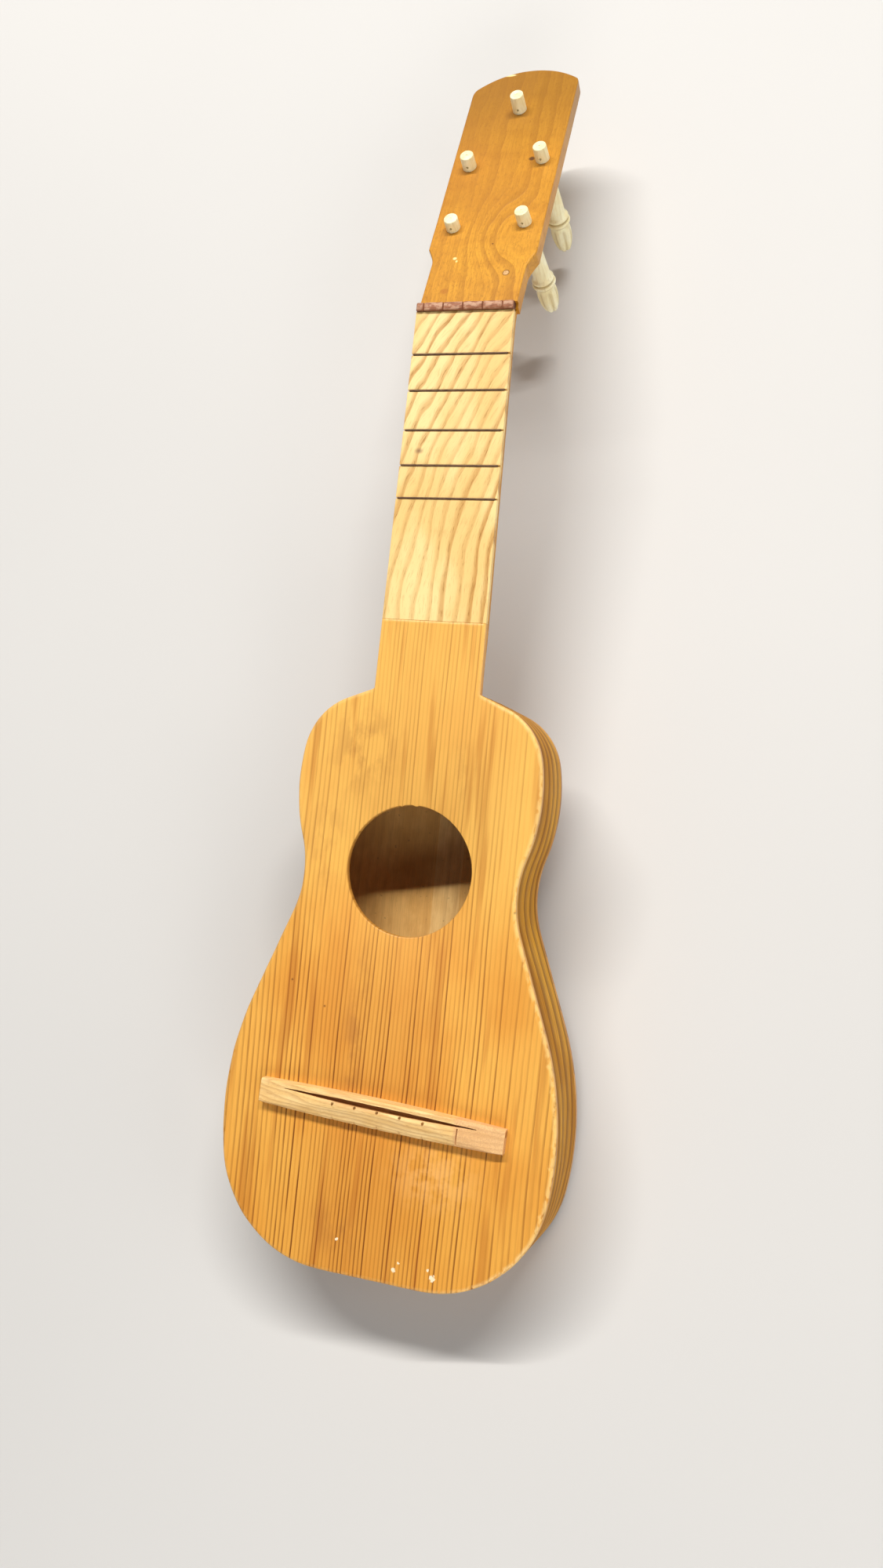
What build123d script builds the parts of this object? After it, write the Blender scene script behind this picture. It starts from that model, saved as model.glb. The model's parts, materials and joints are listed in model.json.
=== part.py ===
from build123d import *
import os
from math import asin, atan2, cos, degrees, hypot, radians, sin, tan

os.makedirs("parts", exist_ok=True)

# A five-string charango with a flat-backed wooden body, a tilted flat head and five friction pegs.
#
# Every piece is designed in the face frame, in millimetres: X toward the treble side, Y from the
# bridge toward the head, Z out of the soundboard. The soundboard's face is Z = 0, and the nut's
# front edge is one scale length up the Y axis. The whole instrument is then laid down on its back
# by rest_location(), so that it rests on its tail and on the knob of its top peg.

# --- Driving dimensions ---------------------------------------------------------------------

SCALE_LENGTH = 370.0

# Half of the body's outline, walked from the middle of the tail: ("run", length) goes straight
# on, and ("bend", radius, angle) turns left, or right where the radius is negative.
TAIL_Y = -77.2
BODY_WALK = [
    ("run", 24.5),
    ("bend", 55.0, 80.5),
    ("bend", 143.0, 30.5),
    ("run", 44.0),
    ("bend", -53.0, 39.5),
    ("bend", 86.0, 29.5),
    ("bend", 31.0, 56.7),
]

# Body: plates, ribs, and the depth over the back, which tapers toward the neck.
BOARD = 3.0
BACK = 2.5
RIB = 2.2
DEPTH_AT_TAIL = 43.4
DEPTH_TAPER = 0.020
EDGE_ROUND = 0.7
SOUNDHOLE_Y = 109.3
SOUNDHOLE_RADIUS = 30.2
SOUNDHOLE_BEVEL = 0.5
BACK_SEAMS = (0.7, 14.2)

# Inner frame of the body.
LINING_WIDTH = 5.0
LINING_HEIGHT = 7.0
TAIL_BLOCK = (44.0, 13.0)
NECK_BLOCK_LENGTH = 25.0
TOP_BRACES = {"top_brace_upper": (153.0, 8.0, 9.0), "top_brace_lower": (67.0, 8.0, 9.0)}
BACK_BRACES = {
    "back_brace_upper": (152.0, 8.0, 8.0),
    "back_brace_middle": (44.0, 8.0, 8.0),
    "back_brace_lower": (-28.0, 8.0, 8.0),
}
FAN_STRUTS = {"fan_strut_left": -9.0, "fan_strut_centre": 0.0, "fan_strut_right": 9.0}
FAN_STRUT_SIZE = (5.0, 104.0, 5.5)
FAN_CENTRE_Y = 8.0
FAN_SPREAD = 2.9
BRIDGE_PLATE = (118.0, 26.0, 2.0)

# Neck and heel.
NECK_HALF_AT_NUT = 23.8
NECK_HALF_AT_BODY = 25.7
FRETBOARD_END = 145.2
NECK_DEPTH = 15.5
NECK_DEPTH_AT_HEEL = 18.0
HEEL_START = 42.0
HEEL_FOOT = 9.0
HEEL_STRAIGHT = 6.0
HEEL_HALF_AT_START = 12.0
HEEL_HALF_AT_BACK = 9.0
NECK_SIDE = 1.5
THROAT_START = 6.0
THROAT_INSET = 0.5
THROAT_SINK = 0.4

# Frets, as distances from the nut, and their strips.
FRETS = (20.4, 37.5, 56.2, 72.8, 88.2)
FRET_WIDTH = 0.8
FRET_SINK = 1.4
FRET_PROUD = 0.5
FRET_END_GAP = 1.2
FRET_ROUND = 0.3

# Nut, with one slot for each string.
NUT_LENGTH = 3.9
NUT_PROUD = 1.7
NUT_END_GAP = 0.3
NUT_ROUND = 0.6
NUT_SLOTS = (0.8, 0.9)
NUT_SPACING = 9.6
NUT_STRINGS_X = -0.7
STRINGS = 5

# Head: a flat plate that leans back from just under the nut, a little toward the treble side.
# Each side has its own shoulder (start and end of the flare) and top corner, measured up the head.
HEAD_TILT = 22.0
HEAD_SHIFT = 1.2
HEAD_START = 3.0
HEAD_THICKNESS = 7.8
HEAD_HALF_AT_NUT = 23.6
HEAD_HALF = 27.2
HEAD_SIDES = {"right": (19.5, 31.0, 147.5), "left": (26.0, 35.5, 143.5)}
HEAD_TOP = (4.0, 156.3)
HEAD_CORNER_ROUND = 3.0
HEAD_PLUG = (14.7, 18.6, 1.3, 4.0)

# Pegs: places on the head's face (across, along), how far each stub stands out of it, and how
# far the hand-drilled hole leans to the treble side, in degrees.
PEGS = {
    "peg_top": (0.4, 127.8, 8.8, 0.0),
    "peg_middle_left": (-17.9, 89.7, 7.0, 0.0),
    "peg_middle_right": (18.7, 92.0, 7.6, -2.0),
    "peg_lower_left": (-17.6, 48.9, 5.9, 0.0),
    "peg_lower_right": (17.7, 50.3, 7.1, -3.6),
}
PEG_RADIUS = 3.5
PEG_TAPER = 0.02
PEG_CLEARANCE = 0.05
PEG_STUB_ROUND = 0.4
PEG_TIP_RADIUS = 2.9
PEG_TIP_ROUND = 0.8
PEG_KNOB_END = 55.8

# The collar and the knob, as radii at depths behind the head's face.
PEG_TURNING = [
    (4.4, 33.2),
    (5.4, 34.2),
    (5.6, 35.0),
    (5.4, 35.8),
    (4.9, 36.0),
    (4.9, 36.3),
    (5.8, 36.6),
    (6.0, 37.5),
    (5.8, 38.4),
    (4.4, 38.8),
    (4.4, 39.4),
    (5.2, 42.2),
    (5.2, 45.2),
    (4.6, 50.2),
    (2.9, 55.5),
]
PEG_STRING_HOLE = (0.6, 2.4)
PEG_KNOB_RADIUS = 5.2
PEG_FLUTES = 6
PEG_FLUTE_START = 40.2
PEG_FLUTE_RADIUS = 2.2
PEG_FLUTE_DEPTH = 0.8

# Bridge: turned a little, so that its treble end is further from the nut.
BRIDGE_CENTRE = (-1.2, -1.7)
BRIDGE_TURN = -2.3
BRIDGE_LENGTH = 119.0
BRIDGE_WIDTHS = (11.0, 13.4)
BRIDGE_HEIGHTS = (4.3, 7.0)
SADDLE_SLOT = (93.5, 1.7, 4.0)
SADDLE_SLOT_TIP = 0.15
SADDLE_OFFSET = 3.2
TIE_RAMP = (2.6, 1.6, 87.5)
TIE_CREST = 0.6
TIE_FALL = 23.0
TIE_HOLE_RADIUS = 0.7
TIE_HOLE_SPACING = 11.0
TIE_HOLE_SLOPE = 32.0
TIE_HOLE_MOUTH = (0.8, 6.1)
TIE_NOTCH = (0.9, 0.8)
SAW_CUT = (38.0, 0.6, 0.8)

# --- Shared geometry ------------------------------------------------------------------------

FAR = 400.0


def bend_point(centre, heading, radius):
    """The point on a bend where the path has this heading."""
    return centre + Vector(sin(heading), -cos(heading)) * radius


def half_outline(inset, end_x):
    """Edges of the right half outline, moved inward by inset, up to its shoulder at end_x."""
    here, heading, edges = Vector(0, TAIL_Y + inset), 0.0, []
    for step in BODY_WALK:
        if step[0] == "run":
            there = here + Vector(cos(heading), sin(heading)) * step[1]
            edges.append(Line(here, there))
        else:
            radius, turn = step[1] - inset, radians(step[2])
            turn = turn if radius > 0 else -turn
            centre = here + Vector(-sin(heading), cos(heading)) * radius
            middle = bend_point(centre, heading + turn / 2, radius)
            there = bend_point(centre, heading + turn, radius)
            edges.append(ThreePointArc(here, middle, there))
            heading += turn
        here = there
    shoulder = here + Vector(cos(heading), sin(heading)) * ((end_x - here.X) / cos(heading))
    return edges + [Line(here, shoulder)]


def end_of(edges):
    """Where a list of edges ends."""
    return edges[-1] @ 1


def mirrored(edges):
    """The same edges on the left side."""
    return [mirror(edge, about=Plane.YZ) for edge in edges]


def face_of(edges):
    """The flat face inside a closed loop of edges."""
    return make_face(edges)


def body_face(inset):
    """The body's whole outline, closed by a straight line across the neck."""
    right = half_outline(inset, NECK_HALF_AT_BODY)
    corner = end_of(right)
    return face_of(right + mirrored(right) + [Line(corner, (-corner.X, corner.Y))])


BODY_TOP_Y = end_of(half_outline(0, NECK_HALF_AT_BODY)).Y
TONGUE_Y = SCALE_LENGTH - FRETBOARD_END


def neck_half(y):
    """Half the neck's width at its face."""
    share = (SCALE_LENGTH - y) / (SCALE_LENGTH - BODY_TOP_Y)
    return NECK_HALF_AT_NUT + (NECK_HALF_AT_BODY - NECK_HALF_AT_NUT) * share


def back_z(y):
    """Height of the back's outer face, which rises toward the neck."""
    return -DEPTH_AT_TAIL + DEPTH_TAPER * (y - TAIL_Y)


def side_prism(points):
    """A prism along X of a polygon given as (y, z) points."""
    outline = Polyline([(0, y, z) for y, z in points], close=True)
    return extrude(make_face(outline), amount=FAR, dir=(1, 0, 0), both=True)


def back_layer(low, high):
    """The layer between two heights over the back's outer face."""
    ends = (-FAR, FAR)
    lower = [(y, back_z(y) + low) for y in ends]
    upper = [(y, back_z(y) + high) for y in reversed(ends)]
    return side_prism(lower + upper)


def block(x_range, y_range, z_range):
    """A box between pairs of limits."""
    size = [high - low for low, high in (x_range, y_range, z_range)]
    centre = [(high + low) / 2 for low, high in (x_range, y_range, z_range)]
    return Pos(*centre) * Box(*size)


def down(face, low, high=0.0):
    """The solid under a flat face drawn at Z = 0, between two heights."""
    return Pos(0, 0, low) * extrude(face, amount=high - low, dir=(0, 0, 1))


def above_back(solid, height):
    """What of a solid lies at least this far over the back's outer face."""
    return solid & back_layer(height, FAR)


# --- Body -----------------------------------------------------------------------------------


def make_soundboard():
    """The one-piece front, with a tongue that runs up the neck to the fretboard."""
    right = half_outline(0, NECK_HALF_AT_BODY)
    corner = (neck_half(TONGUE_Y), TONGUE_Y)
    right.append(Line(end_of(right), corner))
    across = Line(corner, (-corner[0], corner[1]))
    board = down(face_of(right + mirrored(right) + [across]), -BOARD)
    rim = [edge for edge in board.faces().sort_by(Axis.Z)[-1].edges() if edge.center().Y < BODY_TOP_Y]
    board = fillet(rim, EDGE_ROUND)
    board -= Pos(0, SOUNDHOLE_Y, -BOARD / 2) * Cylinder(SOUNDHOLE_RADIUS, 2 * BOARD)
    arcs = board.faces().sort_by(Axis.Z)[-1].edges().filter_by(GeomType.CIRCLE)
    hole_edge = min(arcs, key=lambda edge: abs(edge.radius - SOUNDHOLE_RADIUS))
    return chamfer(hole_edge, SOUNDHOLE_BEVEL)


def make_back():
    """The back, glued up from three boards."""
    plate = down(body_face(0), -FAR) & back_layer(0, BACK)
    limits = (-FAR, *BACK_SEAMS, FAR)
    names = ("back_board_left", "back_board_middle", "back_board_right")
    return {
        name: plate & block((low, high), (-FAR, FAR), (-FAR, FAR))
        for name, low, high in zip(names, limits, limits[1:])
    }


def strip_face(outer, inner):
    """The right-hand band of the outline between two insets."""
    far, near = half_outline(outer, NECK_HALF_AT_BODY), half_outline(inner, NECK_HALF_AT_BODY)
    ends = [Line(far[0] @ 0, near[0] @ 0), Line(end_of(far), end_of(near))]
    return face_of(far + near + ends)


def both_sides(name, solid):
    """The right-hand piece and its mirror image."""
    return {f"{name}_right": solid, f"{name}_left": mirror(solid, about=Plane.YZ)}


def make_ribs():
    """The two bent sides, which meet at the tail and stop at the neck block."""
    return both_sides("rib", above_back(down(strip_face(0, RIB), -FAR, -BOARD), BACK))


def tail_block_space():
    """The tail block's plan, as tall as the instrument."""
    width, length = TAIL_BLOCK
    start = TAIL_Y + RIB
    return block((-width / 2, width / 2), (start, start + length), (-FAR, -BOARD))


def make_blocks():
    """The end blocks that the ribs, the plates and the neck are glued to."""
    neck_end = block(
        (-NECK_HALF_AT_BODY, NECK_HALF_AT_BODY),
        (BODY_TOP_Y - NECK_BLOCK_LENGTH, BODY_TOP_Y),
        (-FAR, -BOARD),
    )
    return {
        "neck_block": above_back(neck_end, BACK),
        "tail_block": above_back(tail_block_space(), BACK),
    }


def make_linings():
    """The glue strips along the ribs' two edges."""
    band = strip_face(RIB, RIB + LINING_WIDTH)
    front = down(band, -BOARD - LINING_HEIGHT, -BOARD) - tail_block_space()
    rear = down(band, -FAR, -BOARD) & back_layer(BACK, BACK + LINING_HEIGHT)
    return {
        **both_sides("front_lining", front),
        **both_sides("back_lining", rear - tail_block_space()),
    }


def make_braces():
    """Cross braces under the front and across the back, cut to fit between the linings."""
    room = body_face(RIB + LINING_WIDTH)
    braces = {}
    for name, (y, width, height) in TOP_BRACES.items():
        bar = block((-FAR, FAR), (y - width / 2, y + width / 2), (-FAR, FAR))
        braces[name] = down(room, -BOARD - height, -BOARD) & bar
    for name, (y, width, height) in BACK_BRACES.items():
        bar = block((-FAR, FAR), (y - width / 2, y + width / 2), (-FAR, FAR))
        braces[name] = down(room, -FAR) & bar & back_layer(BACK, BACK + height)
    return braces


def make_bridge_support():
    """The plate under the bridge, and the fan struts that are notched over it."""
    width, length, height = BRIDGE_PLATE
    x, y = BRIDGE_CENTRE
    plate = Pos(x, y, -BOARD - height / 2) * Rot(Z=BRIDGE_TURN) * Box(width, length, height)
    pieces = {"bridge_plate": plate}
    strut_width, strut_length, strut_height = FAN_STRUT_SIZE
    for name, turn in FAN_STRUTS.items():
        strut = Box(strut_width, strut_length, strut_height)
        place_at = Pos(turn * FAN_SPREAD, FAN_CENTRE_Y, -BOARD - strut_height / 2)
        pieces[name] = place_at * Rot(Z=turn) * strut - plate
    return pieces


# --- Head and neck --------------------------------------------------------------------------

HEAD_LEAN = radians(HEAD_TILT)
HEAD_ROOT = Vector(HEAD_SHIFT, SCALE_LENGTH + HEAD_START, 0)
HEAD_UP = Vector(0, cos(HEAD_LEAN), -sin(HEAD_LEAN))
HEAD_OUT = Vector(0, sin(HEAD_LEAN), cos(HEAD_LEAN))
HEAD_PLANE = Plane(origin=HEAD_ROOT, x_dir=(1, 0, 0), z_dir=HEAD_OUT)


def head_side(side):
    """Edges of one side of the head on its own face, from the nut to the top corner."""
    flare_start, flare_end, corner = HEAD_SIDES[side]
    out = 1 if side == "right" else -1
    foot, waist = (out * HEAD_HALF_AT_NUT, 0), (out * HEAD_HALF_AT_NUT, flare_start)
    shoulder = (out * HEAD_HALF, flare_end)
    return [
        Line((0, 0), foot),
        Line(foot, waist),
        Spline([waist, shoulder], tangents=[(0, 1), (out, 1)]),
        Line(shoulder, (out * HEAD_HALF, corner)),
    ]


def make_head():
    """The flat head, with an arched top."""
    right, left = head_side("right"), head_side("left")
    top = ThreePointArc(end_of(right), HEAD_TOP, end_of(left))
    plate = HEAD_PLANE * extrude(face_of(right + left + [top]), amount=-HEAD_THICKNESS)
    upright = plate.edges().filter_by(Axis(HEAD_ROOT, HEAD_OUT))
    return fillet(upright.sort_by(Axis.Y)[-2:], HEAD_CORNER_ROUND)


def neck_section(plane, half, depth):
    """A rounded D in a plane across the neck: flat in front, short sides, a full round back."""
    front, side = -BOARD, -BOARD - NECK_SIDE
    round_back = Spline(
        [(half, side), (0, -depth), (-half, side)],
        tangents=[(0, -1), (-1, 0), (0, 1)],
    )
    edges = [
        Line((-half, front), (half, front)),
        Line((half, front), (half, side)),
        round_back,
        Line((-half, side), (-half, front)),
    ]
    return plane * face_of(edges)


def across(y):
    """The upright plane across the neck at y, with its second axis up."""
    return Plane(origin=(0, y, 0), x_dir=(1, 0, 0), z_dir=(0, -1, 0))


def make_shaft():
    """The neck from the body to the nut."""
    stations = ((BODY_TOP_Y, NECK_DEPTH_AT_HEEL), (SCALE_LENGTH - THROAT_START, NECK_DEPTH))
    return loft([neck_section(across(y), neck_half(y), depth) for y, depth in stations], ruled=True)


def make_throat():
    """The solid behind the nut, where the round neck runs out into the flat head."""
    start = SCALE_LENGTH - THROAT_START
    first = neck_section(across(start), neck_half(start), NECK_DEPTH)
    end = HEAD_ROOT + HEAD_UP * HEAD_SIDES["right"][0]
    plane = Plane(origin=end, x_dir=(1, 0, 0), z_dir=-HEAD_UP)
    last = neck_section(plane, HEAD_HALF_AT_NUT - THROAT_INSET, HEAD_THICKNESS + THROAT_SINK)
    return loft([first, last], ruled=True)


def make_heel():
    """The heel: it grows out of the shaft's underside and narrows toward the back."""
    top, bottom = BODY_TOP_Y + HEEL_START, back_z(BODY_TOP_Y)
    foot = (0, BODY_TOP_Y + HEEL_FOOT, bottom)
    crown = (0, top, -NECK_DEPTH)
    side_view = [
        Line((0, BODY_TOP_Y, -BOARD), (0, top, -BOARD)),
        Line((0, top, -BOARD), crown),
        Spline([crown, foot], tangents=[(0, -1, 0), (0, 0, -1)]),
        Line(foot, (0, BODY_TOP_Y, bottom)),
        Line((0, BODY_TOP_Y, bottom), (0, BODY_TOP_Y, -BOARD)),
    ]
    half, straight = NECK_HALF_AT_BODY, -BOARD - HEEL_STRAIGHT
    front_view = [
        Line((0, -BOARD), (half, -BOARD)),
        Line((half, -BOARD), (half, straight)),
        Spline([(half, straight), (HEEL_HALF_AT_BACK, bottom)], tangents=[(0, -1), (-0.35, -1)]),
        Line((HEEL_HALF_AT_BACK, bottom), (0, bottom)),
    ]
    plan = [
        Line((0, BODY_TOP_Y), (half, BODY_TOP_Y)),
        Spline([(half, BODY_TOP_Y), (HEEL_HALF_AT_START, top)], tangents=[(0, 1), (-1, 0.6)]),
        Line((HEEL_HALF_AT_START, top), (0, top)),
    ]
    heel = extrude(face_of(side_view), amount=FAR, dir=(1, 0, 0), both=True)
    heel &= extrude(Plane.XZ * face_of(front_view + mirrored(front_view)), amount=FAR, both=True)
    return heel & down(face_of(plan + mirrored(plan)), -FAR)


def make_neck():
    """Shaft, heel and head, carved from one piece of wood."""
    neck = (make_shaft() + make_throat() + make_heel() + make_head()).clean()
    neck -= block((-FAR, FAR), (0, SCALE_LENGTH + NUT_LENGTH), (-BOARD, FAR))
    for name in PEGS:
        neck -= peg_hole(name)
    return neck - head_plug_space()


def make_fretboard():
    """The thin playing surface between the nut and the soundboard's tongue, with its fret slots."""
    corners = [(neck_half(y), y) for y in (TONGUE_Y, SCALE_LENGTH)]
    corners += [(-x, y) for x, y in reversed(corners)]
    board = down(make_face(Polyline(corners, close=True)), -BOARD)
    for distance in FRETS:
        board -= fret_space(distance, FAR, 0)
    return board


def fret_space(distance, half_length, proud):
    """The space of one fret strip, or of its slot."""
    y = SCALE_LENGTH - distance
    return block(
        (-half_length, half_length),
        (y - FRET_WIDTH / 2, y + FRET_WIDTH / 2),
        (-FRET_SINK, proud),
    )


def make_frets():
    """Five thin metal strips with rounded crowns, numbered from the nut."""
    frets = {}
    for number, distance in enumerate(FRETS, start=1):
        half = neck_half(SCALE_LENGTH - distance) - FRET_END_GAP
        strip = fret_space(distance, half, FRET_PROUD)
        crown = strip.faces().sort_by(Axis.Z)[-1].edges().filter_by(Axis.X)
        frets[f"fret_{number}"] = fillet(crown, FRET_ROUND)
    return frets


def string_x(number, spacing):
    """Place across the neck of one string, numbered from 0 on the bass side."""
    return (number - (STRINGS - 1) / 2) * spacing


def make_nut():
    """The hardwood nut, which stands on the neck between the fretboard and the head."""
    half = neck_half(SCALE_LENGTH) - NUT_END_GAP
    y_range = (SCALE_LENGTH, SCALE_LENGTH + NUT_LENGTH)
    nut = block((-half, half), y_range, (-BOARD, NUT_PROUD))
    crown = nut.faces().sort_by(Axis.Z)[-1].edges().filter_by(Axis.X)
    nut = fillet(crown, NUT_ROUND)
    width, depth = NUT_SLOTS
    for number in range(STRINGS):
        x = NUT_STRINGS_X + string_x(number, NUT_SPACING)
        z_range = (NUT_PROUD - depth, FAR)
        nut -= block((x - width / 2, x + width / 2), (0, FAR), z_range)
    return nut


# --- Pegs -----------------------------------------------------------------------------------


def peg_radius(height, clearance=0.0):
    """Radius of the tapered shank at a height over the head's face."""
    return PEG_RADIUS - PEG_TAPER * height + clearance


def peg_plane(name):
    """The plane of the head's face at one peg, with its normal along the peg."""
    across_head, along_head, _, lean = PEGS[name]
    origin = HEAD_ROOT + Vector(across_head, 0, 0) + HEAD_UP * along_head
    axis = HEAD_OUT + Vector(tan(radians(lean)), 0, 0)
    return Plane(origin=origin, x_dir=(1, 0, 0), z_dir=axis)


def turned(plane, points):
    """A solid of revolution from (radius, height) points, standing on a plane."""
    profile = Polyline([(radius, 0, height) for radius, height in points], close=True)
    return plane * revolve(make_face(profile), Axis.Z)


def peg_hole(name):
    """The tapered hole through the head for one peg."""
    low, high = -HEAD_THICKNESS - 1, 1
    points = [
        (0, low),
        (peg_radius(low, PEG_CLEARANCE), low),
        (peg_radius(high, PEG_CLEARANCE), high),
        (0, high),
    ]
    return turned(peg_plane(name), points)


def make_peg(name):
    """One turned peg: stub, tapered shank, two-ring collar and fluted knob."""
    stub = PEGS[name][2]
    points = [
        (0, stub),
        (PEG_RADIUS - PEG_STUB_ROUND, stub),
        (PEG_RADIUS, stub - PEG_STUB_ROUND),
        (peg_radius(0), 0),
        (peg_radius(-HEAD_THICKNESS), -HEAD_THICKNESS),
        *((radius, -depth) for radius, depth in PEG_TURNING),
        (PEG_TIP_RADIUS - PEG_TIP_ROUND, -PEG_KNOB_END),
        (0, -PEG_KNOB_END),
    ]
    peg = turned(peg_plane(name), points)
    hole_radius, hole_height = PEG_STRING_HOLE
    string_hole = Pos(0, 0, hole_height) * Rot(X=90) * Cylinder(hole_radius, FAR / 10)
    for cut in (string_hole, *peg_flutes()):
        peg -= peg_plane(name) * cut
    return peg


def peg_flutes():
    """The scoops around the knob, as solids to cut away."""
    length = PEG_KNOB_END - PEG_FLUTE_START
    reach = PEG_FLUTE_RADIUS + PEG_KNOB_RADIUS - PEG_FLUTE_DEPTH
    scoop = Pos(reach, 0, -PEG_KNOB_END + length / 2) * Cylinder(PEG_FLUTE_RADIUS, length)
    return [Rot(Z=turn * 360 / PEG_FLUTES) * scoop for turn in range(PEG_FLUTES)]


def head_plug_space():
    """The small wooden plug let into the head near the nut."""
    across_head, along_head, radius, depth = HEAD_PLUG
    centre = HEAD_ROOT + Vector(across_head, 0, 0) + HEAD_UP * along_head
    plane = Plane(origin=centre, x_dir=(1, 0, 0), z_dir=HEAD_OUT)
    return plane * Pos(0, 0, -depth / 2) * Cylinder(radius, depth)


# --- Bridge ---------------------------------------------------------------------------------


def bulged_bar(half_length, half_end, half_middle):
    """A long bar's plan whose two long sides bow outward."""
    corners = [(-half_length, half_end), (half_length, half_end)]
    front = ThreePointArc(corners[0], (0, half_middle), corners[1])
    rear = mirror(front, about=Plane.XZ)
    ends = [Line((x, half_end), (x, -half_end)) for x in (-half_length, half_length)]
    return face_of([front, rear] + ends)


def make_bridge():
    """The tie bridge: an arched bar that falls toward the tail, with a saddle slot and string holes."""
    half_length = BRIDGE_LENGTH / 2
    end_width, middle_width = BRIDGE_WIDTHS
    end_height, middle_height = BRIDGE_HEIGHTS
    bar = extrude(bulged_bar(half_length, end_width / 2, middle_width / 2), amount=middle_height)
    arch = ThreePointArc((-half_length, 0, end_height), (0, 0, middle_height), (half_length, 0, end_height))
    feet = [
        Line((-half_length, 0, end_height), (-half_length, 0, 0)),
        Line((-half_length, 0, 0), (half_length, 0, 0)),
        Line((half_length, 0, 0), (half_length, 0, end_height)),
    ]
    bar &= extrude(make_face([arch] + feet), amount=FAR / 10, dir=(0, 1, 0), both=True)
    slot_length, slot_width, slot_depth = SADDLE_SLOT
    slot = extrude(bulged_bar(slot_length / 2, SADDLE_SLOT_TIP, slot_width / 2), amount=FAR)
    bar -= Pos(0, SADDLE_OFFSET, middle_height - slot_depth) * slot
    bar -= tie_ramp(middle_height)
    bar -= Pos(0, TIE_CREST, middle_height) * Rot(X=TIE_FALL) * block((-FAR, FAR), (-FAR, 0), (0, FAR))
    for number in range(STRINGS):
        bar -= tie_hole(number)
    bar -= saw_cut()
    return bridge_place() * bar


def tie_ramp(height):
    """The sloped cut behind the saddle slot, where the strings come out of the tie block."""
    run, drop, length = TIE_RAMP
    profile = [
        (0, SADDLE_OFFSET, height - drop),
        (0, SADDLE_OFFSET - run, height),
        (0, SADDLE_OFFSET, height + drop),
    ]
    wedge = make_face(Polyline(profile, close=True))
    return extrude(wedge, amount=length / 2, dir=(1, 0, 0), both=True)


def tie_hole_plane(number):
    """The mouth of one string hole, with its normal out of the hole, toward the nut."""
    y, z = TIE_HOLE_MOUTH
    slope = radians(TIE_HOLE_SLOPE)
    x = string_x(number, TIE_HOLE_SPACING)
    return Plane(origin=(x, y, z), x_dir=(1, 0, 0), z_dir=(0, cos(slope), sin(slope)))


def tie_hole(number):
    """One sloping string hole through the tie block, and its notch in the rear edge."""
    hole = tie_hole_plane(number) * Cylinder(TIE_HOLE_RADIUS, FAR / 10)
    x = string_x(number, TIE_HOLE_SPACING)
    width, depth = TIE_NOTCH
    rear = -BRIDGE_WIDTHS[1] / 2
    low = BRIDGE_HEIGHTS[1] - (TIE_CREST - rear) * tan(radians(TIE_FALL)) - depth
    return hole + block((x - width / 2, x + width / 2), (rear - 1, rear + 2), (low, FAR))


def saw_cut():
    """The shallow saw cut across the treble wing, behind the slot."""
    x, width, depth = SAW_CUT
    low = BRIDGE_HEIGHTS[0] + depth
    return block((x - width / 2, x + width / 2), (-FAR, SADDLE_OFFSET - 1), (low, FAR))


def bridge_place():
    """Where the bridge stands on the soundboard."""
    x, y = BRIDGE_CENTRE
    return Pos(x, y, 0) * Rot(Z=BRIDGE_TURN)


# --- The whole instrument -------------------------------------------------------------------


def make_pieces():
    """Every piece by name, in the face frame."""
    pieces = {
        "soundboard": make_soundboard(),
        **make_back(),
        **make_ribs(),
        **make_blocks(),
        **make_linings(),
        **make_braces(),
        **make_bridge_support(),
        "neck": make_neck(),
        "fretboard": make_fretboard(),
        **make_frets(),
        "nut": make_nut(),
        "bridge": make_bridge(),
        "head_plug": head_plug_space(),
    }
    for name in PEGS:
        pieces[name] = make_peg(name)
    return pieces


def rest_angle():
    """How far the head end is tipped up or down when the tail and the top peg both touch down."""
    tip = peg_plane("peg_top").origin - HEAD_OUT * (PEG_KNOB_END - PEG_TIP_ROUND)
    tip += HEAD_UP * (PEG_TIP_RADIUS - PEG_TIP_ROUND)
    rise, run = tip.Z - back_z(TAIL_Y), tip.Y - TAIL_Y
    return degrees(-atan2(rise, run) + asin(PEG_TIP_ROUND / hypot(rise, run)))


def rest_location(pieces):
    """Where the face frame lies when the instrument rests on a table at Z = 0, over the origin."""
    tipped = Rot(X=rest_angle())
    boxes = [(tipped * piece).bounding_box() for piece in pieces.values()]
    low = [min(corner) for corner in zip(*(tuple(box.min) for box in boxes))]
    high = [max(corner) for corner in zip(*(tuple(box.max) for box in boxes))]
    return Pos(-(low[0] + high[0]) / 2, -(low[1] + high[1]) / 2, -low[2]) * tipped


def main():
    pieces = make_pieces()
    rest = rest_location(pieces)
    for name, piece in pieces.items():
        export_step(rest * piece, f"parts/{name}.step")


if __name__ == "__main__":
    main()
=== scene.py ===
import json
import math

import bmesh
import bpy
from mathutils import Matrix, Vector, noise


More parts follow.
